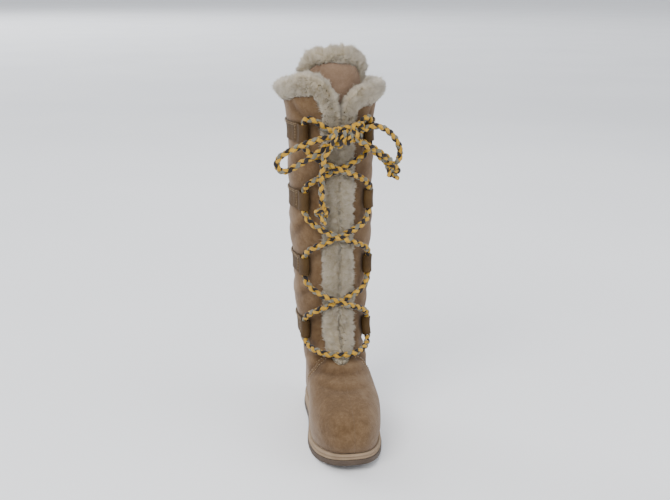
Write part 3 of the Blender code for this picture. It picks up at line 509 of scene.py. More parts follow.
def braid(name, lines, thick=1.0, start_turn=0.8):
    """One piece of four-strand round braid along one or more lines."""
    points, faces, looks = [], [], []
    for number, line in enumerate(lines):
        line = evenly(line, BRAID_STEP)
        sides, ups = frames_along(line)
        along = travelled(line)
        wave = 2 * math.pi * along / (BRAID_TURN * thick)
        roll = start_turn + 1.7 * number + 0.9 * np.sin(2 * math.pi * along / 0.17)
        # The ends draw together
        size = thick * (1 - 0.45 * np.exp(-(np.minimum(along, along[-1] - along) / 0.0016) ** 2))
        for strand in range(4):
            way = 1 if strand < 2 else -1
            turn = way * wave + math.pi * (strand % 2) + roll
            reach = (BRAID_REACH + way * BRAID_WEAVE * np.cos(2 * wave)) * size
            radial = np.cos(turn)[:, None] * sides + np.sin(turn)[:, None] * ups
            centre = line + reach[:, None] * radial
            run = unit(np.gradient(centre, axis=0))
            thin = unit(radial - np.sum(radial * run, axis=1)[:, None] * run)
            plump = (1 + 0.16 * way * np.cos(2 * wave)) * size
            rings = rings_round(
                centre, np.cross(run, thin), thin, STRAND_WIDE * plump, STRAND_THICK * plump, STRAND_SIDES,
            )
            made = tube_faces(len(line), STRAND_SIDES, sum(len(p) for p in points))
            points.append(rings.reshape(-1, 3))
            faces += made
            looks += [(0, 0, 1, 2)[strand]] * len(made)
    return add_object(name, np.concatenate(points), faces, LACE_LOOKS, looks)


# Materials
class Look:
    """A material in the making: a Principled shader, and helpers that add nodes to it."""

    def __init__(self, name, **values):
        self.made = bpy.data.materials.new(name)
        self.made.use_nodes = True
        self.tree = self.made.node_tree
        self.shader = self.tree.nodes["Principled BSDF"]
        for socket, value in values.items():
            self.feed(self.shader, socket.replace("_", " "), value)
        self.place = self.node("ShaderNodeTexCoord").outputs["Object"]

    def feed(self, node, socket, value):
        """Another node's output, or a plain value, goes into a socket."""
        if isinstance(value, bpy.types.NodeSocket):
            self.tree.links.new(value, node.inputs[socket])
        else:
            node.inputs[socket].default_value = value

    def node(self, kind, inputs=(), **settings):
        made = self.tree.nodes.new(kind)
        for key, value in settings.items():
            setattr(made, key, value)
        for socket, value in dict(inputs).items():
            self.feed(made, socket, value)
        return made

    def noise(self, scale, detail, rough, distortion=0.0):
        inputs = {"Vector": self.place, "Scale": scale, "Detail": detail, "Roughness": rough}
        return self.node("ShaderNodeTexNoise", {**inputs, "Distortion": distortion}).outputs["Fac"]

    def sums(self, total, *parts):
        """A number plus the product of each (weight, value) pair."""
        for weight, value in parts:
            sockets = {0: value, 1: weight, 2: total}
            total = self.node("ShaderNodeMath", sockets, operation="MULTIPLY_ADD").outputs[0]
        return total

    def colour(self, value, *stops):
        """Colours the shader by a ramp through (position, colour) stops."""
        made = self.node("ShaderNodeValToRGB", {"Fac": value})
        spots = made.color_ramp.elements
        while len(spots) < len(stops):
            spots.new(0.5)
        for spot, (position, colour) in zip(spots, stops):
            spot.position = position
            spot.color = (*colour, 1.0)
        self.feed(self.shader, "Base Color", made.outputs["Color"])

    def rough(self, value, low, high):
        made = self.node("ShaderNodeMapRange", {"Value": value, "To Min": low, "To Max": high})
        self.feed(self.shader, "Roughness", made.outputs["Result"])

    def bump(self, height, distance, strength):
        made = self.node("ShaderNodeBump", {"Height": height, "Distance": distance, "Strength": strength})
        self.feed(self.shader, "Normal", made.outputs["Normal"])


def suede_look(name, dark, mid, light):
    look = Look(
        name, Roughness=0.95, Sheen_Weight=0.24, Sheen_Roughness=0.5, Sheen_Tint=(0.95, 0.82, 0.72, 1.0),
        Specular_IOR_Level=0.2,
    )
    cloudy, brushed = look.noise(9.0, 4.0, 0.55, 0.4), look.noise(55.0, 5.0, 0.6, 0.6)
    fine, mottled = look.noise(520.0, 4.0, 0.7), look.noise(190.0, 3.0, 0.6, 0.3)
    # Painted shading of the upper's folds: darker colour in their troughs, lighter on their ridges
    painted_fold_shading = look.node("ShaderNodeAttribute", attribute_name="painted_fold_shading").outputs["Fac"]
    tone = look.sums(-0.56, (0.75, cloudy), (0.55, brushed), (0.35, fine), (0.46, mottled), (-0.30, painted_fold_shading))
    look.colour(tone, (0.18, dark), (0.48, mid), (0.80, light))
    look.rough(brushed, 0.86, 1.0)
    look.bump(look.sums(0.0, (0.7, fine), (1.3, look.noise(140.0, 3.0, 0.6))), 0.0007, 0.55)
    return look.made


def wool_look(name, root, body, tip):
    look = Look(
        name, Roughness=0.96, Sheen_Weight=0.30, Sheen_Roughness=0.45, Sheen_Tint=(1.0, 0.97, 0.92, 1.0),
        Specular_IOR_Level=0.15, Subsurface_Weight=0.3, Subsurface_Scale=0.003,
        Subsurface_Radius=(1.0, 0.85, 0.65),
    )
    # The shade field runs low at the locks' roots and high at their tips, so the ramp's dark root colour paints
    # shade towards the roots
    shade = look.node("ShaderNodeAttribute", attribute_name="shade").outputs["Fac"]
    tone = look.sums(-0.14, (0.28, look.noise(70.0, 3.0, 0.6)), (1.0, shade))
    look.colour(tone, (0.02, root), (0.50, body), (0.95, tip))
    look.bump(look.noise(700.0, 3.0, 0.7), 0.0009, 0.6)
    return look.made


def leather_look(name, dark, mid, light):
    look = Look(name, Roughness=0.6, Specular_IOR_Level=0.22)
    cloudy, pores = look.noise(30.0, 5.0, 0.6, 0.5), look.noise(380.0, 4.0, 0.6)
    cells = {"Vector": look.place, "Scale": 850.0}
    grain = look.node("ShaderNodeTexVoronoi", cells, feature="DISTANCE_TO_EDGE")
    look.colour(look.sums(-0.1, (0.8, cloudy), (0.35, pores)), (0.15, dark), (0.5, mid), (0.85, light))
    look.rough(pores, 0.5, 0.78)
    look.bump(look.sums(0.0, (1.2, pores), (2.0, grain.outputs["Distance"])), 0.0005, 0.5)
    return look.made


def strand_look(name, dark, mid, light):
    """A strip of suede in the braid, with a patchy nap."""
    look = Look(name, Roughness=0.9, Sheen_Weight=0.25, Sheen_Roughness=0.4, Specular_IOR_Level=0.25)
    nap, patches = look.noise(700.0, 4.0, 0.7), look.noise(130.0, 3.0, 0.6)
    look.colour(look.sums(-0.1, (0.6, patches), (0.6, nap)), (0.2, dark), (0.5, mid), (0.8, light))
    look.rough(nap, 0.8, 1.0)
    look.bump(nap, 0.0007, 0.7)
    return look.made


def plain_look(name, dark, light, roughness, scale, depth):
    look = Look(name, Roughness=roughness, Specular_IOR_Level=0.35)
    cloud, fine = look.noise(scale * 0.06, 4.0, 0.6), look.noise(scale, 4.0, 0.65)
    look.colour(look.sums(-0.1, (0.7, cloud), (0.4, fine)), (0.2, dark), (0.8, light))
    look.rough(fine, roughness - 0.08, roughness + 0.12)
    look.bump(fine, depth, 0.6)
    return look.made


SUEDE = suede_look("suede", (0.066, 0.034, 0.012), (0.112, 0.065, 0.030), (0.172, 0.110, 0.060))
# The tongue's suede is the boot's suede made lighter: painted light on the tongue, which faces up towards the
# light
PAINTED_LIGHT_TONGUE_SUEDE = suede_look("tongue suede with painted light", (0.135, 0.082, 0.048), (0.208, 0.135, 0.087), (0.280, 0.193, 0.133))
# The dark root colour is painted shade at the locks' roots
WOOL = wool_look("wool", (0.27, 0.195, 0.115), (0.46, 0.370, 0.245), (0.69, 0.595, 0.445))
LEATHER = leather_look("strap leather", (0.030, 0.014, 0.003), (0.060, 0.031, 0.0075), (0.100, 0.057, 0.017))
LACE_LOOKS = (
    strand_look("lace, mustard", (0.21, 0.105, 0.009), (0.42, 0.230, 0.021), (0.61, 0.375, 0.058)),
    strand_look("lace, black", (0.007, 0.005, 0.005), (0.019, 0.015, 0.014), (0.05, 0.042, 0.038)),
    strand_look("lace, grey olive", (0.07, 0.065, 0.045), (0.15, 0.14, 0.105), (0.26, 0.25, 0.20)),
)
THREAD = plain_look("stitching thread", (0.20, 0.14, 0.08), (0.42, 0.31, 0.19), 0.7, 2500.0, 0.0002)
FOAM = plain_look("midsole foam", (0.21, 0.145, 0.09), (0.33, 0.24, 0.155), 0.8, 900.0, 0.0005)
RUBBER = plain_look("outsole rubber", (0.045, 0.03, 0.02), (0.10, 0.07, 0.048), 0.62, 600.0, 0.0004)


# Camera and cords
def make_camera():
    level = math.cos(CAMERA_ELEVATION)
    back = Vector((
        math.sin(CAMERA_AZIMUTH) * level, -math.cos(CAMERA_AZIMUTH) * level, math.sin(CAMERA_ELEVATION),
    ))
    lens = bpy.data.cameras.new("camera")
    lens.lens, lens.sensor_width = CAMERA_LENS, 36.0
    place = Vector(CAMERA_AIM) + back * CAMERA_DISTANCE
    bpy.context.scene.camera = aimed("camera", lens, place, CAMERA_AIM)


def from_knot(place):
    return [KNOT_CENTRE[k] + place[k] * ROUTE_UNIT for k in range(3)]


def free_cord(name, node, route, turn):
    line = evenly([from_knot(place) for place in route], BRAID_STEP)
    piece = dressed(braid(name, [line], start_turn=turn), "lace", node)
    evenly(line, 0.004).tolist()


def overhand_knot(name, node, stop, tilt, tail):
    """A small overhand knot at the end of the lace, with the cut tail under it."""
    t = np.linspace(0.32, 2 * math.pi - 0.10, 60)
    size, deep, turn = 0.0060, 0.0034, math.radians(tilt)
    across = size * (np.sin(t) + 2 * np.sin(2 * t)) / 2.35
    up = size * (np.cos(t) - 2 * np.cos(2 * t)) / 2.1 * 0.92
    loops = np.stack((
        across * math.cos(turn) - up * math.sin(turn), -deep * np.sin(3 * t),
        across * math.sin(turn) + up * math.cos(turn),
    ), axis=1)
    top = np.array(from_knot(stop))
    centre = top + (0.0, 0.0, -0.0078)
    below = centre + np.array(((0.0, -0.001, -0.004), *tail))
    neck = [top + (0.0, 0.0, 0.0006), top + (0.0, -0.0003, -0.0025), centre + (0.0, -0.0003, 0.0010)]
    return dressed(braid(name, [loops + centre, below, neck], thick=0.86, start_turn=0.3), "lace", node)


# The bow's knot besides its wraps, in millimetres from its middle: two cords that run through it, high and
# low, the left and the right end laid over it, and one over its top
KNOT_CORDS = (
    ((-24.5, 1.6, -1.5), (-14.0, 0.0, 2.5), (0.0, -1.0, 4.0), (13.0, 0.0, 7.5), (23.5, 1.8, 7.5)),
    ((-25.0, 3.0, -10.8), (-14.0, 0.0, -8.0), (0.0, -1.0, -5.0), (12.0, 1.0, -4.5), (22.5, 4.0, -7.5)),
    ((-20.5, -6.0, -10.0), (-19.2, -9.4, -4.5), (-17.2, -9.8, 2.5), (-15.2, -5.2, 9.2), (-14.0, 1.0, 8.0)),
    ((15.0, -7.2, -6.2), (12.8, -10.4, -1.0), (9.6, -10.2, 5.5), (7.0, -4.6, 12.5), (5.8, 1.4, 11.2)),
    ((-18.0, 5.0, 1.0), (-10.0, 3.0, 8.5), (2.0, -1.0, 11.5), (13.0, -3.0, 15.0), (19.0, 1.0, 14.0),
     (20.0, 6.0, 7.0)),
)


def knot_lines():
    """The bow's knot: wraps round the cords that run through, with the two ends laid over them."""
    t = np.linspace(0.0, 1.0, 90)
    turn = 2 * math.pi * (2.9 * t + 0.1)
    wraps = np.stack((
        -0.0165 + 0.033 * t + 0.0018 * np.sin(turn), -0.0070 * np.cos(turn),
        0.0085 * np.sin(turn) + 0.005 * (2 * t - 1),
    ), axis=1)
    cords = [np.array(cord) * 0.001 for cord in KNOT_CORDS]
    return [line + np.array(KNOT_CENTRE) for line in [wraps] + cords]


def lace_point(arc, z, out):
    angle = angle_at(arc, level_at(z))
    return skin(level_at(z, angle), angle, out)


def lace_line(start, end, lift, bump):
    """The lace between two loops, each (side, height, pull), as in the part."""
    (side_a, z_a, pull_a), (side_b, z_b, pull_b) = start, end
    t = np.linspace(0.0, 1.0, 25)
    weights = np.array(((1 - t) ** 3, 3 * t * (1 - t) ** 2, 3 * t * t * (1 - t), t ** 3))
    arc = LOOP_ARC * (np.array((side_a, side_a * 0.94, side_b * 0.94, side_b)) @ weights)
    z = np.array((z_a, z_a + pull_a, z_b + pull_b, z_b)) @ weights
    over = smooth_step(np.minimum(t, 1 - t), 0.0, 0.30)
    out = LOOP_MIDDLE + (lift - LOOP_MIDDLE) * over + bump * np.exp(-((t - 0.5) / 0.14) ** 2)
    return lace_point(arc, z, out)


def lace_down(route, side):
    """Parts of the lace from the bow down through every loop, from side to side, and the side it ends on."""
    half = STRAP_HEIGHT / 2
    arc, rise, lift = evenly(np.array(route) * (LOOP_ARC, ROUTE_UNIT, ROUTE_UNIT), LACE_STEP).T
    parts = [lace_point(arc, strap_height(0) + half + rise, LOOP_MIDDLE + lift)[::-1]]
    for k in range(STRAP_COUNT):
        z = strap_height(k) + np.linspace(0.4, -0.4, 5) * STRAP_HEIGHT
        parts.append(lace_point(np.full(5, side * LOOP_ARC), z, np.full(5, LOOP_MIDDLE)))
        if k < STRAP_COUNT - 1:
            leave = strap_height(k) - half - LACE_CLEARANCE
            arrive = strap_height(k + 1) + half + LACE_CLEARANCE
            bump = LACE_OVER if side < 0 else LACE_UNDER
            parts.append(lace_line((side, leave, -LACE_DROP), (-side, arrive, LACE_DROP), LACE_LIFT, bump))
            side = -side
    return parts, side


def lacing():
    """The whole lace on the shaft: from the bow down one way, round the bottom and up again to the bow."""
    low = strap_height(STRAP_COUNT - 1) - STRAP_HEIGHT / 2 - LACE_CLEARANCE
    bar = lace_line((-1, low, -LACE_DROP), (1, low, -LACE_DROP), LOOP_MIDDLE + BAR_LIFT, 0.0)
    down, side = lace_down(LEFT_TOP_RUN, -1)
    up, _ = lace_down(RIGHT_TOP_RUN, 1)
    line = np.concatenate(down + [bar[::-side]] + [part[::-1] for part in reversed(up)])
    apart = np.linalg.norm(np.diff(line, axis=0), axis=1) > 0.0012
    line = evenly(line[np.concatenate(([True], apart))], LACE_STEP)
    # Its small corners are smoothed away
    for _ in range(3):
        line[1:-1] = 0.5 * line[1:-1] + 0.25 * (line[:-2] + line[2:])
    return line


def build_lace():
    left_stop = overhand_knot("end_knot_inner_braid", "end_knot_inner", LEFT_STOP, 12.0, LEFT_TAIL)
    right_stop = overhand_knot("end_knot_outer_braid", "end_knot_outer", RIGHT_STOP, -25.0, RIGHT_TAIL)
    free_cord("bow_loop_inner_braid", "bow_loop_inner", LEFT_BOW, 0.5)
    free_cord("bow_loop_outer_braid", "bow_loop_outer", RIGHT_BOW, 1.4)
    free_cord("lace_end_inner_braid", "lace_end_inner", LEFT_END, 0.9)
    free_cord("lace_end_outer_braid", "lace_end_outer", RIGHT_END, 2.1)
    dressed(braid("bow_knot_braid", knot_lines(), thick=0.95), "lace", "bow_knot")
    dressed(
        braid("lacing_braid", [lacing()]), "lace",
        "lace_crossing_1", "lace_crossing_2", "lace_crossing_3", "lace_bottom_bar", "lace_top_runs",
    )


# Upper
# Soft folds in the suede: angle, height, to angle, to height, half width and depth. Angles are
# in degrees from the toe, positive on the wearer's left, and the rest is in millimetres.
FOLDS = (
    (28, 114, 80, 82, 5.5, 2.5), (50, 121, 112, 103, 5.0, 2.3), (74, 90, 124, 80, 6.0, 1.5),
    (-26, 113, -76, 84, 5.5, 2.6), (-48, 121, -108, 101, 5.0, 2.2), (-78, 88, -122, 78, 6.0, 1.4),
    (148, 116, 212, 111, 5.5, 2.2), (136, 98, 206, 94, 6.0, 1.7), (122, 112, 150, 121, 4.5, 1.2),
    (-122, 111, -150, 121, 4.5, 1.2), (44, 201, 96, 168, 6.5, 2.0), (78, 209, 138, 194, 6.0, 1.7),
    (104, 178, 158, 164, 7.0, 1.6), (-42, 198, -98, 170, 6.5, 2.1), (-84, 209, -136, 190, 6.0, 1.8),
    (-110, 176, -160, 166, 7.0, 1.5), (166, 204, 200, 196, 6.0, 1.4), (42, 296, 92, 262, 7.0, 1.7),
    (84, 290, 148, 274, 7.0, 1.5), (-40, 298, -86, 258, 7.0, 1.9), (-80, 288, -140, 268, 7.0, 1.6),
    (-128, 256, -172, 250, 7.0, 1.3), (142, 258, 186, 252, 7.0, 1.3), (40, 386, 90, 350, 7.0, 1.5),
    (94, 384, 150, 366, 7.5, 1.3), (-40, 384, -88, 352, 7.0, 1.8), (-92, 386, -150, 362, 7.5, 1.4),
    (150, 348, 196, 342, 7.0, 1.2), (31, 238, 38, 182, 4.5, 1.2), (-32, 330, -38, 280, 4.5, 1.3),
    (-31, 236, -37, 186, 4.5, 1.2), (32, 328, 38, 276, 4.5, 1.2), (48, 425, 62, 447, 6.0, 1.3),
    (-44, 426, -66, 448, 7.0, 1.6), (100, 426, 114, 449, 7.0, 1.2), (-96, 427, -112, 449, 7.0, 1.2),
)
# Wrinkles across the vamp: level, angle, to level, to angle, half width in levels, and depth in millimetres
VAMP_FOLDS = (
    (4.9, -58, 4.7, 58, 0.20, 0.9), (5.6, -66, 5.5, 64, 0.22, 1.4), (6.3, -72, 6.2, 70, 0.24, 1.7),
    (7.0, -40, 7.1, -84, 0.22, 1.6), (7.0, 40, 7.1, 84, 0.22, 1.6), (3.4, 96, 4.4, 118, 0.26, 0.8),
    (3.4, -96, 4.4, -118, 0.26, 0.8),
)
# The shaft's radius in millimetres, and levels for each degree across the vamp
FOLD_RADIUS = 57.0
VAMP_SCALE = 0.030


def near_line(x, y, line, half):
    """How near places are to a line (x0, y0, x1, y1): 1 on it, 0 a few half widths off or past its ends."""
    x0, y0, x1, y1 = line
    dx, dy = x1 - x0, y1 - y0
    long = math.hypot(dx, dy)
    t = ((x - x0) * dx + (y - y0) * dy) / long ** 2
    bow = 0.10 * long * np.sin(math.pi * np.clip(t, 0, 1))
    off = np.abs(((x - x0) * -dy + (y - y0) * dx) / long - bow * 0.35)
    ends = smooth_step(t, -0.12, 0.22) * (1 - smooth_step(t, 0.72, 1.10))
    sharp = np.exp(-(np.sqrt(off ** 2 + 0.02 * half ** 2) - 0.14 * half) / (0.42 * half))
    return (0.5 * np.exp(-(off / half) ** 2) + 0.5 * sharp) * ends


def fold_relief(points, level, angle):
    """How far the folds alone move the suede, in metres. Each has a lower ridge beside its trough."""
    turn, high = signed(angle), points[..., 2] * 1000
    round_shaft, total = turn * FOLD_RADIUS, np.zeros(high.shape)
    for a0, z0, a1, z1, half, depth in FOLDS:
        past_back = (round_shaft < 0) & (max(a0, a1) > 180)
        x = np.where(past_back, round_shaft + 2 * math.pi * FOLD_RADIUS, round_shaft)
        line = math.radians(a0) * FOLD_RADIUS, z0, math.radians(a1) * FOLD_RADIUS, z1
        ridge = 0.00055 * depth * near_line(x, high - 1.9 * half, line, half * 1.15)
        total += -0.001 * depth * near_line(x, high, line, half) + ridge
    for l0, a0, l1, a1, half, depth in VAMP_FOLDS:
        x, line = np.degrees(turn) * VAMP_SCALE, (a0 * VAMP_SCALE, l0, a1 * VAMP_SCALE, l1)
        ridge = 0.0005 * depth * near_line(x, level - 1.8 * half, line, half)
        total += -0.001 * depth * near_line(x, level, line, half) + ridge
    return total


def relief(points, level, angle):
    """How far the suede stands out of its plain form, in metres: folds, slack between the straps and waves."""
    z, turn = points[..., 2], np.abs(signed(angle))
    total = fold_relief(points, level, angle)
    total += 0.0008 * smooth_step(z, 0.12, 0.17) * waves(points * (1, 1, 0.6), 0.075, 3)
    total += 0.00035 * waves(points, 0.024, 4)
    # The suede swells a little between the straps, most at the sides and the back
    between = np.sin(math.pi * (z - STRAP_BOTTOM) / STRAP_PITCH) ** 2 * (z > STRAP_BOTTOM) * (z < STRAP_TOP)
    total += 0.0013 * between * smooth_step(turn, 0.5, 1.3)
    # Flat where the straps, the sole and the throat's edges hold it
    held = np.max([np.exp(-((z - strap_height(k)) / 0.017) ** 4) for k in range(STRAP_COUNT)], axis=0)
    total *= 1 - np.where(total > 0, 0.9, 0.5) * held
    beside = smooth_step(turn * FOLD_RADIUS / 1000, 0.020, 0.034) + (1 - smooth_step(z, 0.085, 0.105))
    return total * np.clip(beside, 0.25, 1.0) * smooth_step(level, 0.5, 1.6)


def back_seam(points, angle):
    """A fine groove between two soft edges down the middle of the back."""
    off = np.abs(angle - math.pi) * 0.058
    groove = -0.0011 * np.exp(-(off / 0.0011) ** 2) + 0.0007 * np.exp(-((off - 0.0033) / 0.0018) ** 2)
    return groove * smooth_step(points[..., 2], 0.034, 0.044)


def upper_grid():
    """Places on the upper, rows by columns, with their levels and angles. They are closer beside the seam."""
    throat_level = float(level_at(THROAT_BOTTOM))
    levels = np.sort(np.concatenate((
        np.linspace(0.0, throat_level, 82), np.linspace(throat_level, TOP_LEVEL, 132)[1:],
        throat_level + np.array((0.01, 0.02, 0.04)),
    )))[:, None]
    by_seam = np.array((0.0018, 0.0036, 0.0052, 0.0078, 0.0105))
    by_edges = (0.0012, 0.003, 0.997, 0.9988)
    shares = np.sort(np.concatenate((np.linspace(0.0, 1.0, 181), 0.5 - by_seam, 0.5 + by_seam, by_edges)))
    shares = ease_round(shares[np.concatenate(([True], np.diff(shares) > 4e-4))])
    angle, reach = round_back(levels, shares)
    top_height = collar_height(angle, reach)
    top = level_at(top_height, math.pi / 2)
    fade = np.maximum(0.0, (levels - ANKLE_LEVEL) / (TOP_LEVEL - ANKLE_LEVEL))
    level = np.where(levels <= ANKLE_LEVEL, levels, ANKLE_LEVEL + (top - ANKLE_LEVEL) * fade)
    points = suede(level, angle)
    points[..., 2] += np.maximum(0.0, top_height - SHAFT_HEIGHT) * fade ** 6
    return points, level, angle


def thick_sheet(name, grid, wall, look):
    made = add_object(name, grid, grid_faces(grid.shape[0], grid.shape[1], False), [look])
    solidify = made.modifiers.new("wall", "SOLIDIFY")
    solidify.thickness, solidify.offset = wall, -1
    solidify.use_even_offset = True
    return made


def build_upper():
    """The suede shell. It gives lines for two rows of stitches beside the back seam."""
    points, level, angle = upper_grid()
    stands_out = relief(points, level, angle) + back_seam(points, angle)
    shaped = points + stands_out[..., None] * outward(level, angle)
    upper = dressed(thick_sheet("upper_suede", shaped, WALL - 0.0004, SUEDE), "suede", "upper")
    # Painted shade darkens the suede's colour in each fold's trough, and painted light lightens the low ridge
    # beside it
    add_field(upper, "painted_fold_shading", fold_relief(points, level, angle).astype(np.float32) * -500)
    normals = -grid_normals(shaped, False)
    if normals[80, 10] @ outward(level[80, 10], angle[80, 10]) <= 0:
        normals = -normals
    lines = []
    for column in (shaped.shape[1] // 2 - 4, shaped.shape[1] // 2 + 4):
        line, own = shaped[:, column], normals[:, column]
        inside = (line[:, 2] > 0.036) & (line[:, 2] < SHAFT_HEIGHT - 0.004)
        lines.append((line[inside] + 0.0001 * own[inside], own[inside]))
    return lines


def stitches(name, lines, long, wide):
    """Short raised stitches along lines of (points, outward normals)."""
    points, faces = [], []
    for line, normals in lines:
        for start in np.arange(STITCH_GAP, travelled(line)[-1] - long, long + STITCH_GAP):
            at = start + long * np.array((0.0, 0.22, 0.78, 1.0))
            place, normal = read_along(line, line, at), unit(read_along(line, normals, at))
            side = unit(np.cross(normal, unit(place[-1] - place[0])))
            size, lift = wide * np.array(((0.45, 1.0, 1.0, 0.45), (-0.3, 0.55, 0.55, -0.3)))
            faces += tube_faces(4, 6, 24 * len(points))
            rings = rings_round(place + lift[:, None] * normal, side, normal, size, size, 6)
            points.append(rings.reshape(-1, 3))
    return add_object(name, np.concatenate(points), faces, [THREAD])


def build_vamp_seam():
    """The band that joins the foot's front to the shaft, down both sides from the throat's foot to the sole.
    It gives lines for the stitches beside it."""
    lines = []
    t, knots = np.linspace(0.0, 1.0, 90), np.linspace(0.0, 1.0, 6)
    level = curve_through(knots, (7.05, 6.35, 5.1, 3.6, 2.1, 0.9), t)
    for side, name in ((1, "vamp_seam_outer"), (-1, "vamp_seam_inner")):
        angle = side * np.radians(curve_through(knots, (0.0, 34.0, 66.0, 88.0, 99.0, 104.0), t))
        points, normals = suede(level, angle), outward(level, angle)
        points = points + relief(points, level, angle % (2 * math.pi))[:, None] * normals
        across = unit(np.cross(normals, np.gradient(points, axis=0)))
        rings = rings_round(points, across, normals, VAMP_SEAM_WIDE / 2, VAMP_SEAM_THICK, 10)
        dressed(add_object(name, rings, tube_faces(len(points), 10), [SUEDE]), "suede")
        for shift in (0.0030, -0.0030):
            lines.append((points + across * shift + normals * 0.0002, normals))
    return lines


# Sole
def sole_ring(margin, height, count=200):
    """A ring of points this far outside the foot, at the height that a function gives along the foot."""
    angles = 2 * math.pi * np.arange(count) / count
    points = suede(np.zeros(count), angles)
    along = np.roll(points, -1, axis=0) - np.roll(points, 1, axis=0)
    points[:, :2] += margin * unit(np.stack((along[:, 1], -along[:, 0]), axis=1))
    points[:, 2] = height((1 + np.cos(angles)) / 2)
    return points


def decked(name, rings, look):
    """A closed solid through rings, its two ends decked straight across from the toe to the heel."""
    rings = np.array(rings)
    rows, count = rings.shape[:2]
    faces = grid_faces(rows, count, True).tolist()
    for start, step in ((0, -1), ((rows - 1) * count, 1)):
        for j in range(count // 2):
            across = (j, j + 1, (count - 1 - j) % count, -j % count)
            corners = list(dict.fromkeys(start + k for k in across))
            if len(corners) > 2:
                faces.append(corners[::step])
    made = add_object(name, rings, faces, [look], smooth=False)
    shape = bmesh.new()
    shape.from_mesh(made.data)
    bmesh.ops.remove_doubles(shape, verts=shape.verts, dist=1e-6)
    bmesh.ops.recalc_face_normals(shape, faces=shape.faces)
    shape.to_mesh(made.data)
    shape.free()
    made.data.shade_smooth()
    made.data.set_sharp_from_angle(angle=math.radians(38))
    return made


def groove_cutters():
    """Boxes across the tread, one for each groove of the heel and the forefoot."""
    boxes = bmesh.new()
    length, first = FOOT_LENGTH + 2 * SOLE_MARGIN, HEEL_BACK + SOLE_MARGIN
    middle_lug = (first % LUG_PITCH) - LUG_PITCH / 2
    for k in range(int(length / LUG_PITCH) + 1):
        y = first - middle_lug - k * LUG_PITCH
        s = (first - y) / length
        if 0.03 < s < 0.965 and not 0.31 < s < 0.54:
            box = bmesh.ops.create_cube(boxes, size=1.0)["verts"]
            bmesh.ops.scale(boxes, verts=box, vec=(2 * BALL_WIDTH, GROOVE_WIDTH, 2 * LUG_DEPTH))
            bmesh.ops.translate(boxes, verts=box, vec=(0.0, y, float(tread(s))))
    mesh = bpy.data.meshes.new("groove_cutters")
    boxes.to_mesh(mesh)
    boxes.free()
    return linked("groove_cutters", mesh)


def build_outsole():
    top, edge = OUTSOLE_THICKNESS, SOLE_EDGE
    rows = [(edge * share, edge * (1 - share) ** 1.6) for share in (1.0, 0.62, 0.30, 0.08, 0.0)]
    rows += [(0.0, top - edge), (0.3 * edge, top - 0.3 * edge), (edge / 2 + 0.0003, top)]
    rings = [sole_ring(SOLE_MARGIN - inset, lambda s, up=up: tread(s) + up) for inset, up in rows]
    outsole = decked("outsole_rubber", rings, RUBBER)
    cutter = groove_cutters()
    grooves = outsole.modifiers.new("grooves", "BOOLEAN")
    grooves.operation = "DIFFERENCE"
    grooves.object = cutter
    graph = bpy.context.evaluated_depsgraph_get()
    mesh = bpy.data.meshes.new_from_object(outsole.evaluated_get(graph))
    outsole.modifiers.clear()
    outsole.data = mesh
    bpy.data.objects.remove(cutter)
    dressed(outsole, "outsole", "outsole")


def build_midsole():
    def base(s):
        return tread(s) + OUTSOLE_THICKNESS + GAP

    rings = []
    for height in np.concatenate(([0.0, 0.03], np.linspace(0.08, 0.97, 22), [1.0])):
        insets = np.interp(height + np.array((0.0, -0.03, 0.0, 0.03)), *MIDSOLE_SIDE)
        inset = 0.4 * insets[0] + 0.6 * np.mean(insets[1:])
        rings.append(sole_ring(
            SOLE_MARGIN - inset * SIDE_GROOVE, lambda s, h=height: base(s) + h * (foot_bed(s) - base(s)),
        ))
    dressed(decked("midsole_foam", rings, FOAM), "midsole", "midsole")


def build_insole():
    """A footbed with a short fleece top."""
    look = plain_look("insole fleece", (0.36, 0.32, 0.26), (0.62, 0.58, 0.50), 0.95, 500.0, 0.002)
    rings = []
    for inset, share in ((0.0, 0.0), (0.0, 0.5), (0.0006, 0.85), (0.0012, 1.0)):
        up = GAP + INSOLE_THICKNESS * share
        rings.append(sole_ring(-(WALL + 0.0012) - inset, lambda s, up=up: foot_bed(s) + up, 120))
    dressed(decked("insole_fleece", rings, look), "wool", "insole")


# Tongue
def tongue_grid(columns, rows, more=0.0, lift=0.0):
    u = np.sin(math.pi / 2 * np.linspace(-1, 1, columns))[None, :]
    share = (np.linspace(0.0, 1.0, rows) ** 0.9)[:, None]
    z = TONGUE_BOTTOM + share * (tongue_rim(u) - TONGUE_BOTTOM - lift)
    angle = u * tongue_half_angle(z)
    return tongue_point(z, angle, more), z, angle


def build_tongue():
    points, z, angle = tongue_grid(61, 110)
    normals = outward(level_at(np.minimum(z, SHAFT_HEIGHT - TONGUE_STRAIGHT)), angle)
    low = 0.0006 * waves(points, 0.05, 11) * smooth_step(z, 0.40, 0.45)
    dent = -0.0014 * near_line(np.degrees(angle), z * 1000, (-26, 452, 30, 478), 9.0)
    shaped = points + (low + dent)[..., None] * normals
    dressed(thick_sheet("tongue_suede", shaped, TONGUE_WALL - 0.0006, PAINTED_LIGHT_TONGUE_SUEDE), "suede", "tongue")


# Wool
def ring_turns(sides):
    """The turns of the points round a bolster, from its start at the edge."""
    return 2 * math.pi * (np.arange(sides) + 0.5) / sides


def wool_rings(edges, beyonds, normals, reach, inside, outside, sides, under=0.0):
    """Rings of a bolster beyond an edge, round where it ends. It starts at the edge, or laps under metres
    over what is before it."""
    turn = ring_turns(sides)
    far = (1 - np.cos(turn)) / 2
    half = np.abs(np.sin(turn)) ** 0.7
    inside, outside, reach = (np.asarray(size)[:, None] for size in (inside, outside, reach))
    out = np.where(np.sin(turn) > 0, outside * half, -inside * half)
    past = 3 * GAP - under + far * (reach + under)
    return edges[:, None, :] + beyonds[:, None, :] * past[..., None] + normals[:, None, :] * out[..., None]


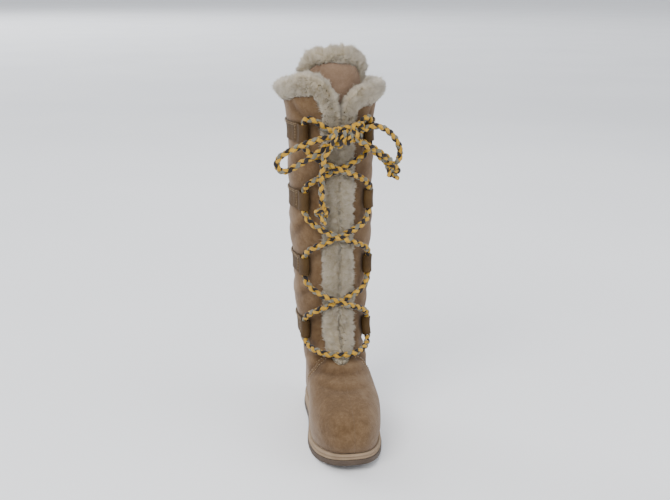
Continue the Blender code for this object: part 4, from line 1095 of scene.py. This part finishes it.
def wool_base(grid, closed, sink, seed):
    """The lumpy body under the locks: its points, normals and shade."""
    rows, columns = grid.shape[:2]
    middle = grid.mean(axis=1, keepdims=True)
    if closed:
        # Both ends are rounded off
        from_end = np.minimum(np.arange(rows), rows - 1 - np.arange(rows))
        slim = np.sqrt(1 - (1 - np.clip(from_end / 6 + 0.004, 0.0, 1.0)) ** 2)
        grid = middle + (grid - middle) * slim[:, None, None]
    normals = grid_normals(grid, closed)
    if closed and np.sum(normals * (grid - middle)) < 0:
        normals = -normals
    lumps = 0.0009 * waves(grid, 0.0085, seed + 20) + 0.0005 * waves(grid, 0.004, seed + 21)
    # Where the piece is thin, its base gives way less
    room = np.linalg.norm(grid - middle, axis=-1) if closed else np.ones((rows, columns))
    out = lumps * np.minimum(1.0, room / 0.006) - np.minimum(sink, 0.35 * room)
    # The base is set lighter than the locks' roots: painted light in the gaps between tufts, where the base
    # shows in shade
    shade = np.clip(0.60 + 0.08 * waves(grid, 0.006, seed + 22), 0.2, 0.9)
    return grid + normals * out[..., None], normals, shade


def fleece(name, grid, closed, count, long, nodes, seed, comb, sink=0.0, clump=0.0050, gather=0.33, weight=1.0,
           grow=1.0, wide=0.00075, painted_shade_and_warmth=0.0):
    """A woolly piece: a lumpy base under a dense coat of fine tapered locks that gather at their tips. Weight
    says where on the grid the locks stand and grow how long they are there."""
    picker = np.random.default_rng(seed)
    rows, columns = grid.shape[:2]
    base, normals, base_shade = wool_base(grid, closed, sink, seed)
    faces = tube_faces(rows, columns) if closed else grid_faces(rows, columns, False).tolist()

    # Where each lock grows
    i, j = np.arange(rows - 1)[:, None], np.arange(columns if closed else columns - 1)[None, :]
    k = (j + 1) % columns
    cross = np.cross(base[i + 1, k] - base[i, j], base[i + 1, j] - base[i, k])
    area = np.linalg.norm(cross, axis=-1) / 2
    area = area * np.broadcast_to(weight, (rows, columns))[: rows - 1, : area.shape[1]]
    flat = area.reshape(-1)
    cell = picker.choice(len(flat), size=count, p=flat / flat.sum())
    ci, cj = np.divmod(cell, area.shape[1])
    ck = (cj + 1) % columns
    s, t = picker.random(count)[:, None], picker.random(count)[:, None]

    def at(values):
        return (
            (1 - s) * (1 - t) * values[ci, cj] + s * (1 - t) * values[ci, ck]
            + s * t * values[ci + 1, ck] + (1 - s) * t * values[ci + 1, cj]
        )

    root, normal = at(base), unit(at(normals))
    # Locks stand in tufts, each with its own length, lean and tone, and their tips gather round the tuft's own
    heads = picker.choice(count, size=max(4, int(flat.sum() / clump ** 2)), replace=False)
    tree = KDTree(len(heads))
    for number, head in enumerate(heads):
        tree.insert(root[head], number)
    tree.balance()
    own = np.array([tree.find(place)[1] for place in root])
    tuft_lean = picker.normal(scale=TUFT_SPREAD, size=(len(heads), 3))[own]
    lean = unit(normal + np.array(comb) + tuft_lean + picker.normal(scale=LOCK_SPREAD, size=(count, 3)))
    lengths = long * picker.uniform(0.65, 1.15, count) * (1 + 0.25 * waves(root, 0.012, seed + 23))
    lengths *= picker.uniform(0.84, 1.22, len(heads))[own] * np.where(picker.random(count) < 0.07, 1.35, 1.0)
    lengths *= at(np.broadcast_to(grow, (rows, columns))[..., None])[:, 0]
    tip = root + lean * lengths[:, None]
    pulled = (gather * picker.uniform(0.5, 1.0, count))[:, None]
    tip = tip + (tip[heads[own]] - tip) * pulled
    # Each lock is a slim three-sided spike
    side = unit(np.cross(tip - root, picker.normal(size=(count, 3))))
    other = unit(np.cross(tip - root, side))
    half = (wide / 2 * picker.uniform(0.75, 1.25, count))[:, None]
    turns = [2 * math.pi * k / LOCK_SIDES for k in range(LOCK_SIDES)]
    radials = [math.cos(turn) * side + math.sin(turn) * other for turn in turns]
    locks = np.stack([root + half * radial for radial in radials] + [tip], axis=1)
    first = rows * columns + 4 * np.arange(count)[:, None]
    for corners in ((0, 1, 3), (1, 2, 3), (2, 0, 3)):
        faces += (first + np.array(corners)).tolist()
    tone = (picker.normal(scale=0.04, size=count) + picker.normal(scale=0.07, size=len(heads))[own])[:, None]
    # A drop in tone for the throat's pieces darkens and warms their wool: painted shade under the lacing and
    # the flaps, and a warmer tone
    tone = tone + 0.07 * waves(root, 0.010, seed + 24)[:, None] - painted_shade_and_warmth
    # Each lock's three root points are darker than its tip: painted shade at the roots, where the locks crowd,
    # under each lock's and tuft's own tone
    lock_shade = np.clip(np.array((0.40, 0.40, 0.40, 0.86)) + tone, 0.02, 1.0)
    soft = [unit(0.8 * normal + 0.45 * radial) for radial in radials] + [unit(normal + 0.5 * lean)]
    made = add_object(name, flat_list(base, locks), faces, [WOOL])
    add_field(made, "shade", np.concatenate((base_shade.reshape(-1), lock_shade.reshape(-1))))
    made.data.normals_split_custom_set_from_vertices(flat_list(normals, np.stack(soft, axis=1)).tolist())
    dressed(made, "wool", *nodes)


def flat_list(*blocks):
    """Points of one or more blocks, one after another."""
    return np.concatenate([block.reshape(-1, 3) for block in blocks])


def short_lap(sides, least, until):
    """How long the wool is round a bolster: short where it laps over the suede."""
    turn = np.degrees(ring_turns(sides))
    return least + (1 - least) * smooth_step(turn, 0.42 * until, until)


def throat_strip(side, name, node, seed):
    z = np.linspace(THROAT_BOTTOM + 0.0012, STRIP_TOP + 0.007, 150)
    level = level_at(z)
    angle = side * throat_angle(level)
    edge, normal = skin(level, angle), outward(level, angle)
    beyond = suede(level, 0.0) - edge
    beyond = beyond - np.sum(beyond * normal, axis=1)[:, None] * normal
    wide = np.linalg.norm(beyond, axis=1)
    reach = wide + 0.0026
    inside = np.minimum(np.maximum(0.62 * tongue_depth(z) - 0.0024, 0.0016), 0.45 * reach + WALL)
    # The wool puffs out between the laces' crossings
    puff = np.cos(math.pi * (z - STRAP_BOTTOM) / STRAP_PITCH) ** 2
    puff *= smooth_step(z, THROAT_BOTTOM, STRAP_BOTTOM) * (1 - smooth_step(z, STRAP_TOP, STRIP_TOP))
    outside = np.minimum(STRIP_PROUD * (0.75 + 0.85 * puff), 0.35 * reach)
    rings = wool_rings(edge, beyond / wide[:, None], normal, reach, inside, outside, STRIP_SIDES)
    turn = ring_turns(STRIP_SIDES)
    # Its wool is darkened and warmed: painted shade under the lacing, and a warmer tone
    fleece(
        name, rings, True, 24000, 0.0062, [node], seed, (0.35 * side, 0.0, -0.20), sink=0.0024, gather=0.25,
        weight=np.where(np.sin(turn) > -0.45, 1.0, 0.08), wide=0.00092, painted_shade_and_warmth=0.07,
        grow=(0.5 + 0.5 * smooth_step(z, THROAT_BOTTOM, THROAT_BOTTOM + 0.014))[:, None],
    )


def collar_line(count):
    """Points and outward normals along the collar, from corner to corner round the back."""
    angle, reach = round_back(TOP_LEVEL, ease_round(np.linspace(0.0, 1.0, count)))
    height = collar_height(angle, reach)
    level = level_at(height, math.pi / 2)
    points = skin(level, angle)
    points[:, 2] += np.maximum(0.0, height - SHAFT_HEIGHT)
    ends = level_at(np.array((STRIP_TOP + GAP, STRIP_TOP + 3 * GAP)))
    side = throat_angle(ends)
    points = np.concatenate((skin(ends, side), points, skin(ends[::-1], -side[::-1])))
    normals = np.concatenate((outward(ends, side), outward(level, angle), outward(ends[::-1], -side[::-1])))
    return points, normals


def build_collar_wool():
    """Its rings are as many as the part's, then read more finely along their length."""
    points, normals = collar_line(44)
    along = np.gradient(points, axis=0)
    count = len(points)
    from_end = np.minimum(np.arange(count), count - 1 - np.arange(count))
    run = np.where((from_end < 2)[:, None], along * (0, 0, 1), along)
    beyond = unit(np.cross(normals, unit(run)))
    reach = COLLAR_WOOL_REACH + CORNER_WOOL_REACH * np.exp(-((from_end - 6) / 3) ** 2)
    meeting = STRIP_MEETING_SHIFT * smooth_step(points[:, 2], STRIP_TOP, STRIP_TOP + STRIP_MEETING_RISE)
    room = np.abs(points[:, 0] - meeting) - 3 * GAP
    tight = (points[:, 1] < 0) & (reach * np.abs(beyond[:, 0]) > room)
    reach = np.where(tight, room / np.maximum(np.abs(beyond[:, 0]), 1e-6), reach)
    grown = smooth_step(from_end, 0, 4)
    rings = wool_rings(
        points, beyond, normals, reach, COLLAR_WOOL_IN * (0.8 + 0.2 * grown),
        STRIP_PROUD + (COLLAR_WOOL_OUT - STRIP_PROUD) * grown, COLLAR_SIDES, under=0.003,
    )
    at = np.linspace(0, count - 1, 210)
    rings = curve_through(np.arange(count), rings, at)
    # The two ends run on down into the throat's wool
    end = np.minimum(at, count - 1 - at)[:, None]
    rings[..., 2] -= 0.013 * (1 - smooth_step(end, 0.0, 4.0))
    fleece(
        "collar_fleece", rings, True, 60000, 0.0072, ["collar_wool"], 7, (0.0, 0.0, 0.02), sink=0.0038,
        gather=0.20, grow=short_lap(COLLAR_SIDES, 0.50, 115), wide=0.00110,
    )


def build_tongue_wool():
    u = np.sin(np.linspace(-1.0, 1.0, 27) * math.radians(78))
    z, z_next = tongue_rim(u), tongue_rim(u + 1e-2)
    angle = u * TONGUE_HALF_ANGLE
    point = tongue_point(z, angle, TONGUE_WALL / 2)
    run = tongue_point(z_next, angle + 1e-2 * TONGUE_HALF_ANGLE, TONGUE_WALL / 2) - point
    normal = outward(np.full(len(u), float(level_at(SHAFT_HEIGHT - TONGUE_STRAIGHT))), angle)
    beyond = np.cross(unit(run), normal)
    beyond = np.where(beyond[:, 2:] < 0, -beyond, beyond)
    beside = smooth_step(np.abs(u), 0.72, 0.97)
    rings = wool_rings(
        point, beyond, normal, TONGUE_WOOL_REACH * (1 - 0.55 * beside), np.full(len(u), TONGUE_WOOL_HALF),
        TONGUE_WOOL_HALF * (1 - 0.65 * beside), TONGUE_SIDES, under=0.0026,
    )
    rings = curve_through(np.arange(27), rings, np.linspace(0, 26, 96))
    fleece(
        "tongue_fleece", rings, True, 23000, 0.0072, ["tongue_wool"], 8, (0.0, 0.0, 0.34), sink=0.0026,
        grow=short_lap(TONGUE_SIDES, 0.42, 125), wide=0.00092,
    )


def build_lining():
    """Fleece on the inside of the shaft and on the back of the tongue."""
    level = level_at(np.linspace(LINING_BOTTOM, SHAFT_HEIGHT - 0.006, 60))[:, None]
    angle, reach = round_back(level, np.linspace(0.0, 1.0, 121))
    top = np.minimum(collar_height(angle, reach) - 0.004, SHAFT_HEIGHT - 0.001)
    z = LINING_BOTTOM + (top - LINING_BOTTOM) * np.linspace(0.0, 1.0, 60)[:, None]
    grid = skin(level_at(z), angle, -(WALL + 0.0026 + 0.0022 * smooth_step(z, top - 0.016, top - 0.002)))
    # It runs on up into the collar's wool
    grid[..., 2] += 0.008 * smooth_step(z, top - 0.012, top)
    fleece(
        "shaft_lining_fleece", grid[:, ::-1], False, 19000, 0.0050, [], 9, (0.0, 0.0, 0.25), clump=0.0055,
        gather=0.6, weight=smooth_step(z, 0.30, 0.36) + 0.04, wide=0.0011,
    )
    back, z, _ = tongue_grid(41, 60, TONGUE_WALL + 0.0013, 0.001)
    fleece(
        "tongue_lining_fleece", back[:, ::-1], False, 10000, 0.0050, [], 10, (0.0, 0.0, 0.1),
        gather=0.6, weight=smooth_step(z, 0.36, 0.41) + 0.03, wide=0.0010,
    )


def build_throat_foot():
    """Wool behind the throat's foot, where the tongue begins."""
    z = np.linspace(THROAT_BOTTOM - 0.007, THROAT_BOTTOM + 0.036, 30)[:, None] * np.ones((1, 19))
    level = level_at(z)
    angle = angle_at(throat_half(z) + 0.003, level) * np.linspace(-1.0, 1.0, 19)[None, :]
    # Its wool is darkened and warmed: painted shade deep in the throat, and a warmer tone
    fleece(
        "throat_foot_fleece", skin(level, angle, 0.0006 - tongue_depth(z)), False, 4500, 0.0040, [], 12,
        (0.0, 0.0, 0.45), clump=0.0045, weight=smooth_step(z, THROAT_BOTTOM, THROAT_BOTTOM + 0.002), painted_shade_and_warmth=0.07,
    )


# Straps
def strap_profile():
    """The leather seen from above, as rows of end, run and out: end is 1 or -1 near a loop, where run is the
    distance behind the loop's middle, and 0 round the back, where run is a share of the way."""
    radius = LOOP_RADIUS - LEATHER_THICK / 2
    near = [(run, 0.0) for run in np.linspace(FOLD_TAIL, 0.0052, 8)]
    for turn in np.radians(np.linspace(-62, -250, 17)):
        near.append((radius * math.cos(turn) * 0.98, LOOP_RADIUS + radius * math.sin(turn)))
    near += OUTER_LAYER
    behind = [(0, share, 0.0001) for share in np.linspace(0.115, 0.885, 74)]
    return np.array([(1, *place) for place in near] + behind + [(-1, *place) for place in near[::-1]])


def strap_points(z, profile):
    """Points of the strap's profile on the shaft at one height."""
    edge = float(angle_at(LOOP_ARC, level_at(z)))
    end, run, out = profile.T
    at_back = end == 0
    loop_angle = end * edge
    # The band bends with the shaft behind the loop
    bent = np.where(
        at_back, edge + run * 2 * (math.pi - edge), loop_angle + end * np.maximum(run, 0.0) / 0.0565,
    )
    curved = skin(level_at(z, bent), bent, STRAP_CLEARANCE + out)
    level = level_at(z, loop_angle)
    normal = outward(level, loop_angle)
    behind = suede(level, loop_angle + end * 0.02) - suede(level, loop_angle - end * 0.02)
    behind = unit(behind - np.sum(behind * normal, axis=1)[:, None] * normal)
    flat = suede(level, loop_angle) + normal * (STRAP_CLEARANCE + out)[:, None] + behind * run[:, None]
    share = np.where(at_back, 1.0, smooth_step(run, 0.004, 0.016))[:, None]
    return (1 - share) * flat + share * curved


def build_strap(k, profile):
    heights = strap_height(k) + np.linspace(-1, 1, 11) * (STRAP_HEIGHT / 2)
    grid = np.array([strap_points(z, profile) for z in heights])
    # The edges of the leather waver a little
    grid[..., 2] += 0.0005 * waves(grid * (1, 1, 0.2), 0.05, 30 + k)
    made = add_object(f"strap_{k + 1}", grid, grid_faces(grid.shape[0], grid.shape[1], False), [LEATHER])
    solidify = made.modifiers.new("leather", "SOLIDIFY")
    solidify.thickness, solidify.offset = LEATHER_THICK, 0.0
    bevel = made.modifiers.new("edge", "BEVEL")
    bevel.width, bevel.segments = 0.00045, 2
    bevel.limit_method, bevel.angle_limit = "ANGLE", math.radians(50)
    dressed(made, "strap_leather", f"lace_strap_{k + 1}")
    return grid


def strap_stitch_lines(grid, profile):
    """Two rows along the strap's upper edge, and one down each folded end."""
    ends, runs, outs = profile.T
    # The outer face runs from behind one loop round the back to the other
    outer = np.where((ends == 0) | ((outs > 0.0001) & (runs > 0.0110)))[0]
    middle = outer[len(outer) // 2]
    normals = grid_normals(grid, False)
    if normals[5, middle] @ (grid[5, middle] - grid.mean(axis=(0, 1))) < 0:
        normals = -normals
    raised, own = LEATHER_THICK / 2 + 0.0001, normals[5, outer]
    lines = [(grid[10, outer] + (0, 0, -down) + own * raised, own) for down in (0.0016, 0.0036)]
    for end in (1, -1):
        column = next(i for i in outer if ends[i] == end and abs(runs[i] - 0.0170) < 1e-6)
        own = normals[1:-1, column]
        lines.append((grid[1:-1, column] + own * raised, own))
    return lines


def build_straps():
    profile, lines = strap_profile(), []
    for k in range(STRAP_COUNT):
        lines += strap_stitch_lines(build_strap(k, profile), profile)
    dressed(stitches("strap_stitches", lines, 0.0026, 0.00036), "strap_leather")


# Floor and light
def build_stage():
    look = Look("floor", Roughness=0.7, Specular_IOR_Level=0.2)
    look.colour(look.noise(1.2, 2.0, 0.5), (0.3, (0.84, 0.84, 0.85)), (0.7, (0.88, 0.88, 0.885)))
    corners = [(x * 150.0, y * 150.0, 0) for x, y in ((-1, -1), (1, -1), (1, 1), (-1, 1))]
    floor = add_object("floor", corners, [(0, 1, 2, 3)], [look.made], smooth=False)
    floor.location.z = -0.0002


def light_stage():
    for name, place, aim, size, power, colour in LIGHTS:
        lamp = bpy.data.lights.new(name, "AREA")
        lamp.shape = "RECTANGLE"
        lamp.size, lamp.size_y = size
        lamp.energy, lamp.color = power, colour
        aimed(name, lamp, place, aim)
    world = bpy.data.worlds.new("studio")
    world.use_nodes = True
    background = world.node_tree.nodes["Background"]
    background.inputs["Color"].default_value = (0.80, 0.83, 0.88, 1.0)
    background.inputs["Strength"].default_value = 1.08
    bpy.context.scene.world = world


make_camera()
build_lace()
dressed(stitches("seam_stitches", build_upper() + build_vamp_seam(), 0.0030, 0.00042), "suede")
build_outsole()
build_midsole()
build_tongue()
throat_strip(-1, "throat_fleece_inner", "throat_wool_inner", 5)
throat_strip(1, "throat_fleece_outer", "throat_wool_outer", 6)
build_collar_wool()
build_tongue_wool()
build_lining()
build_throat_foot()
build_insole()
build_straps()
build_stage()
light_stage()

bpy.context.view_layer.update()
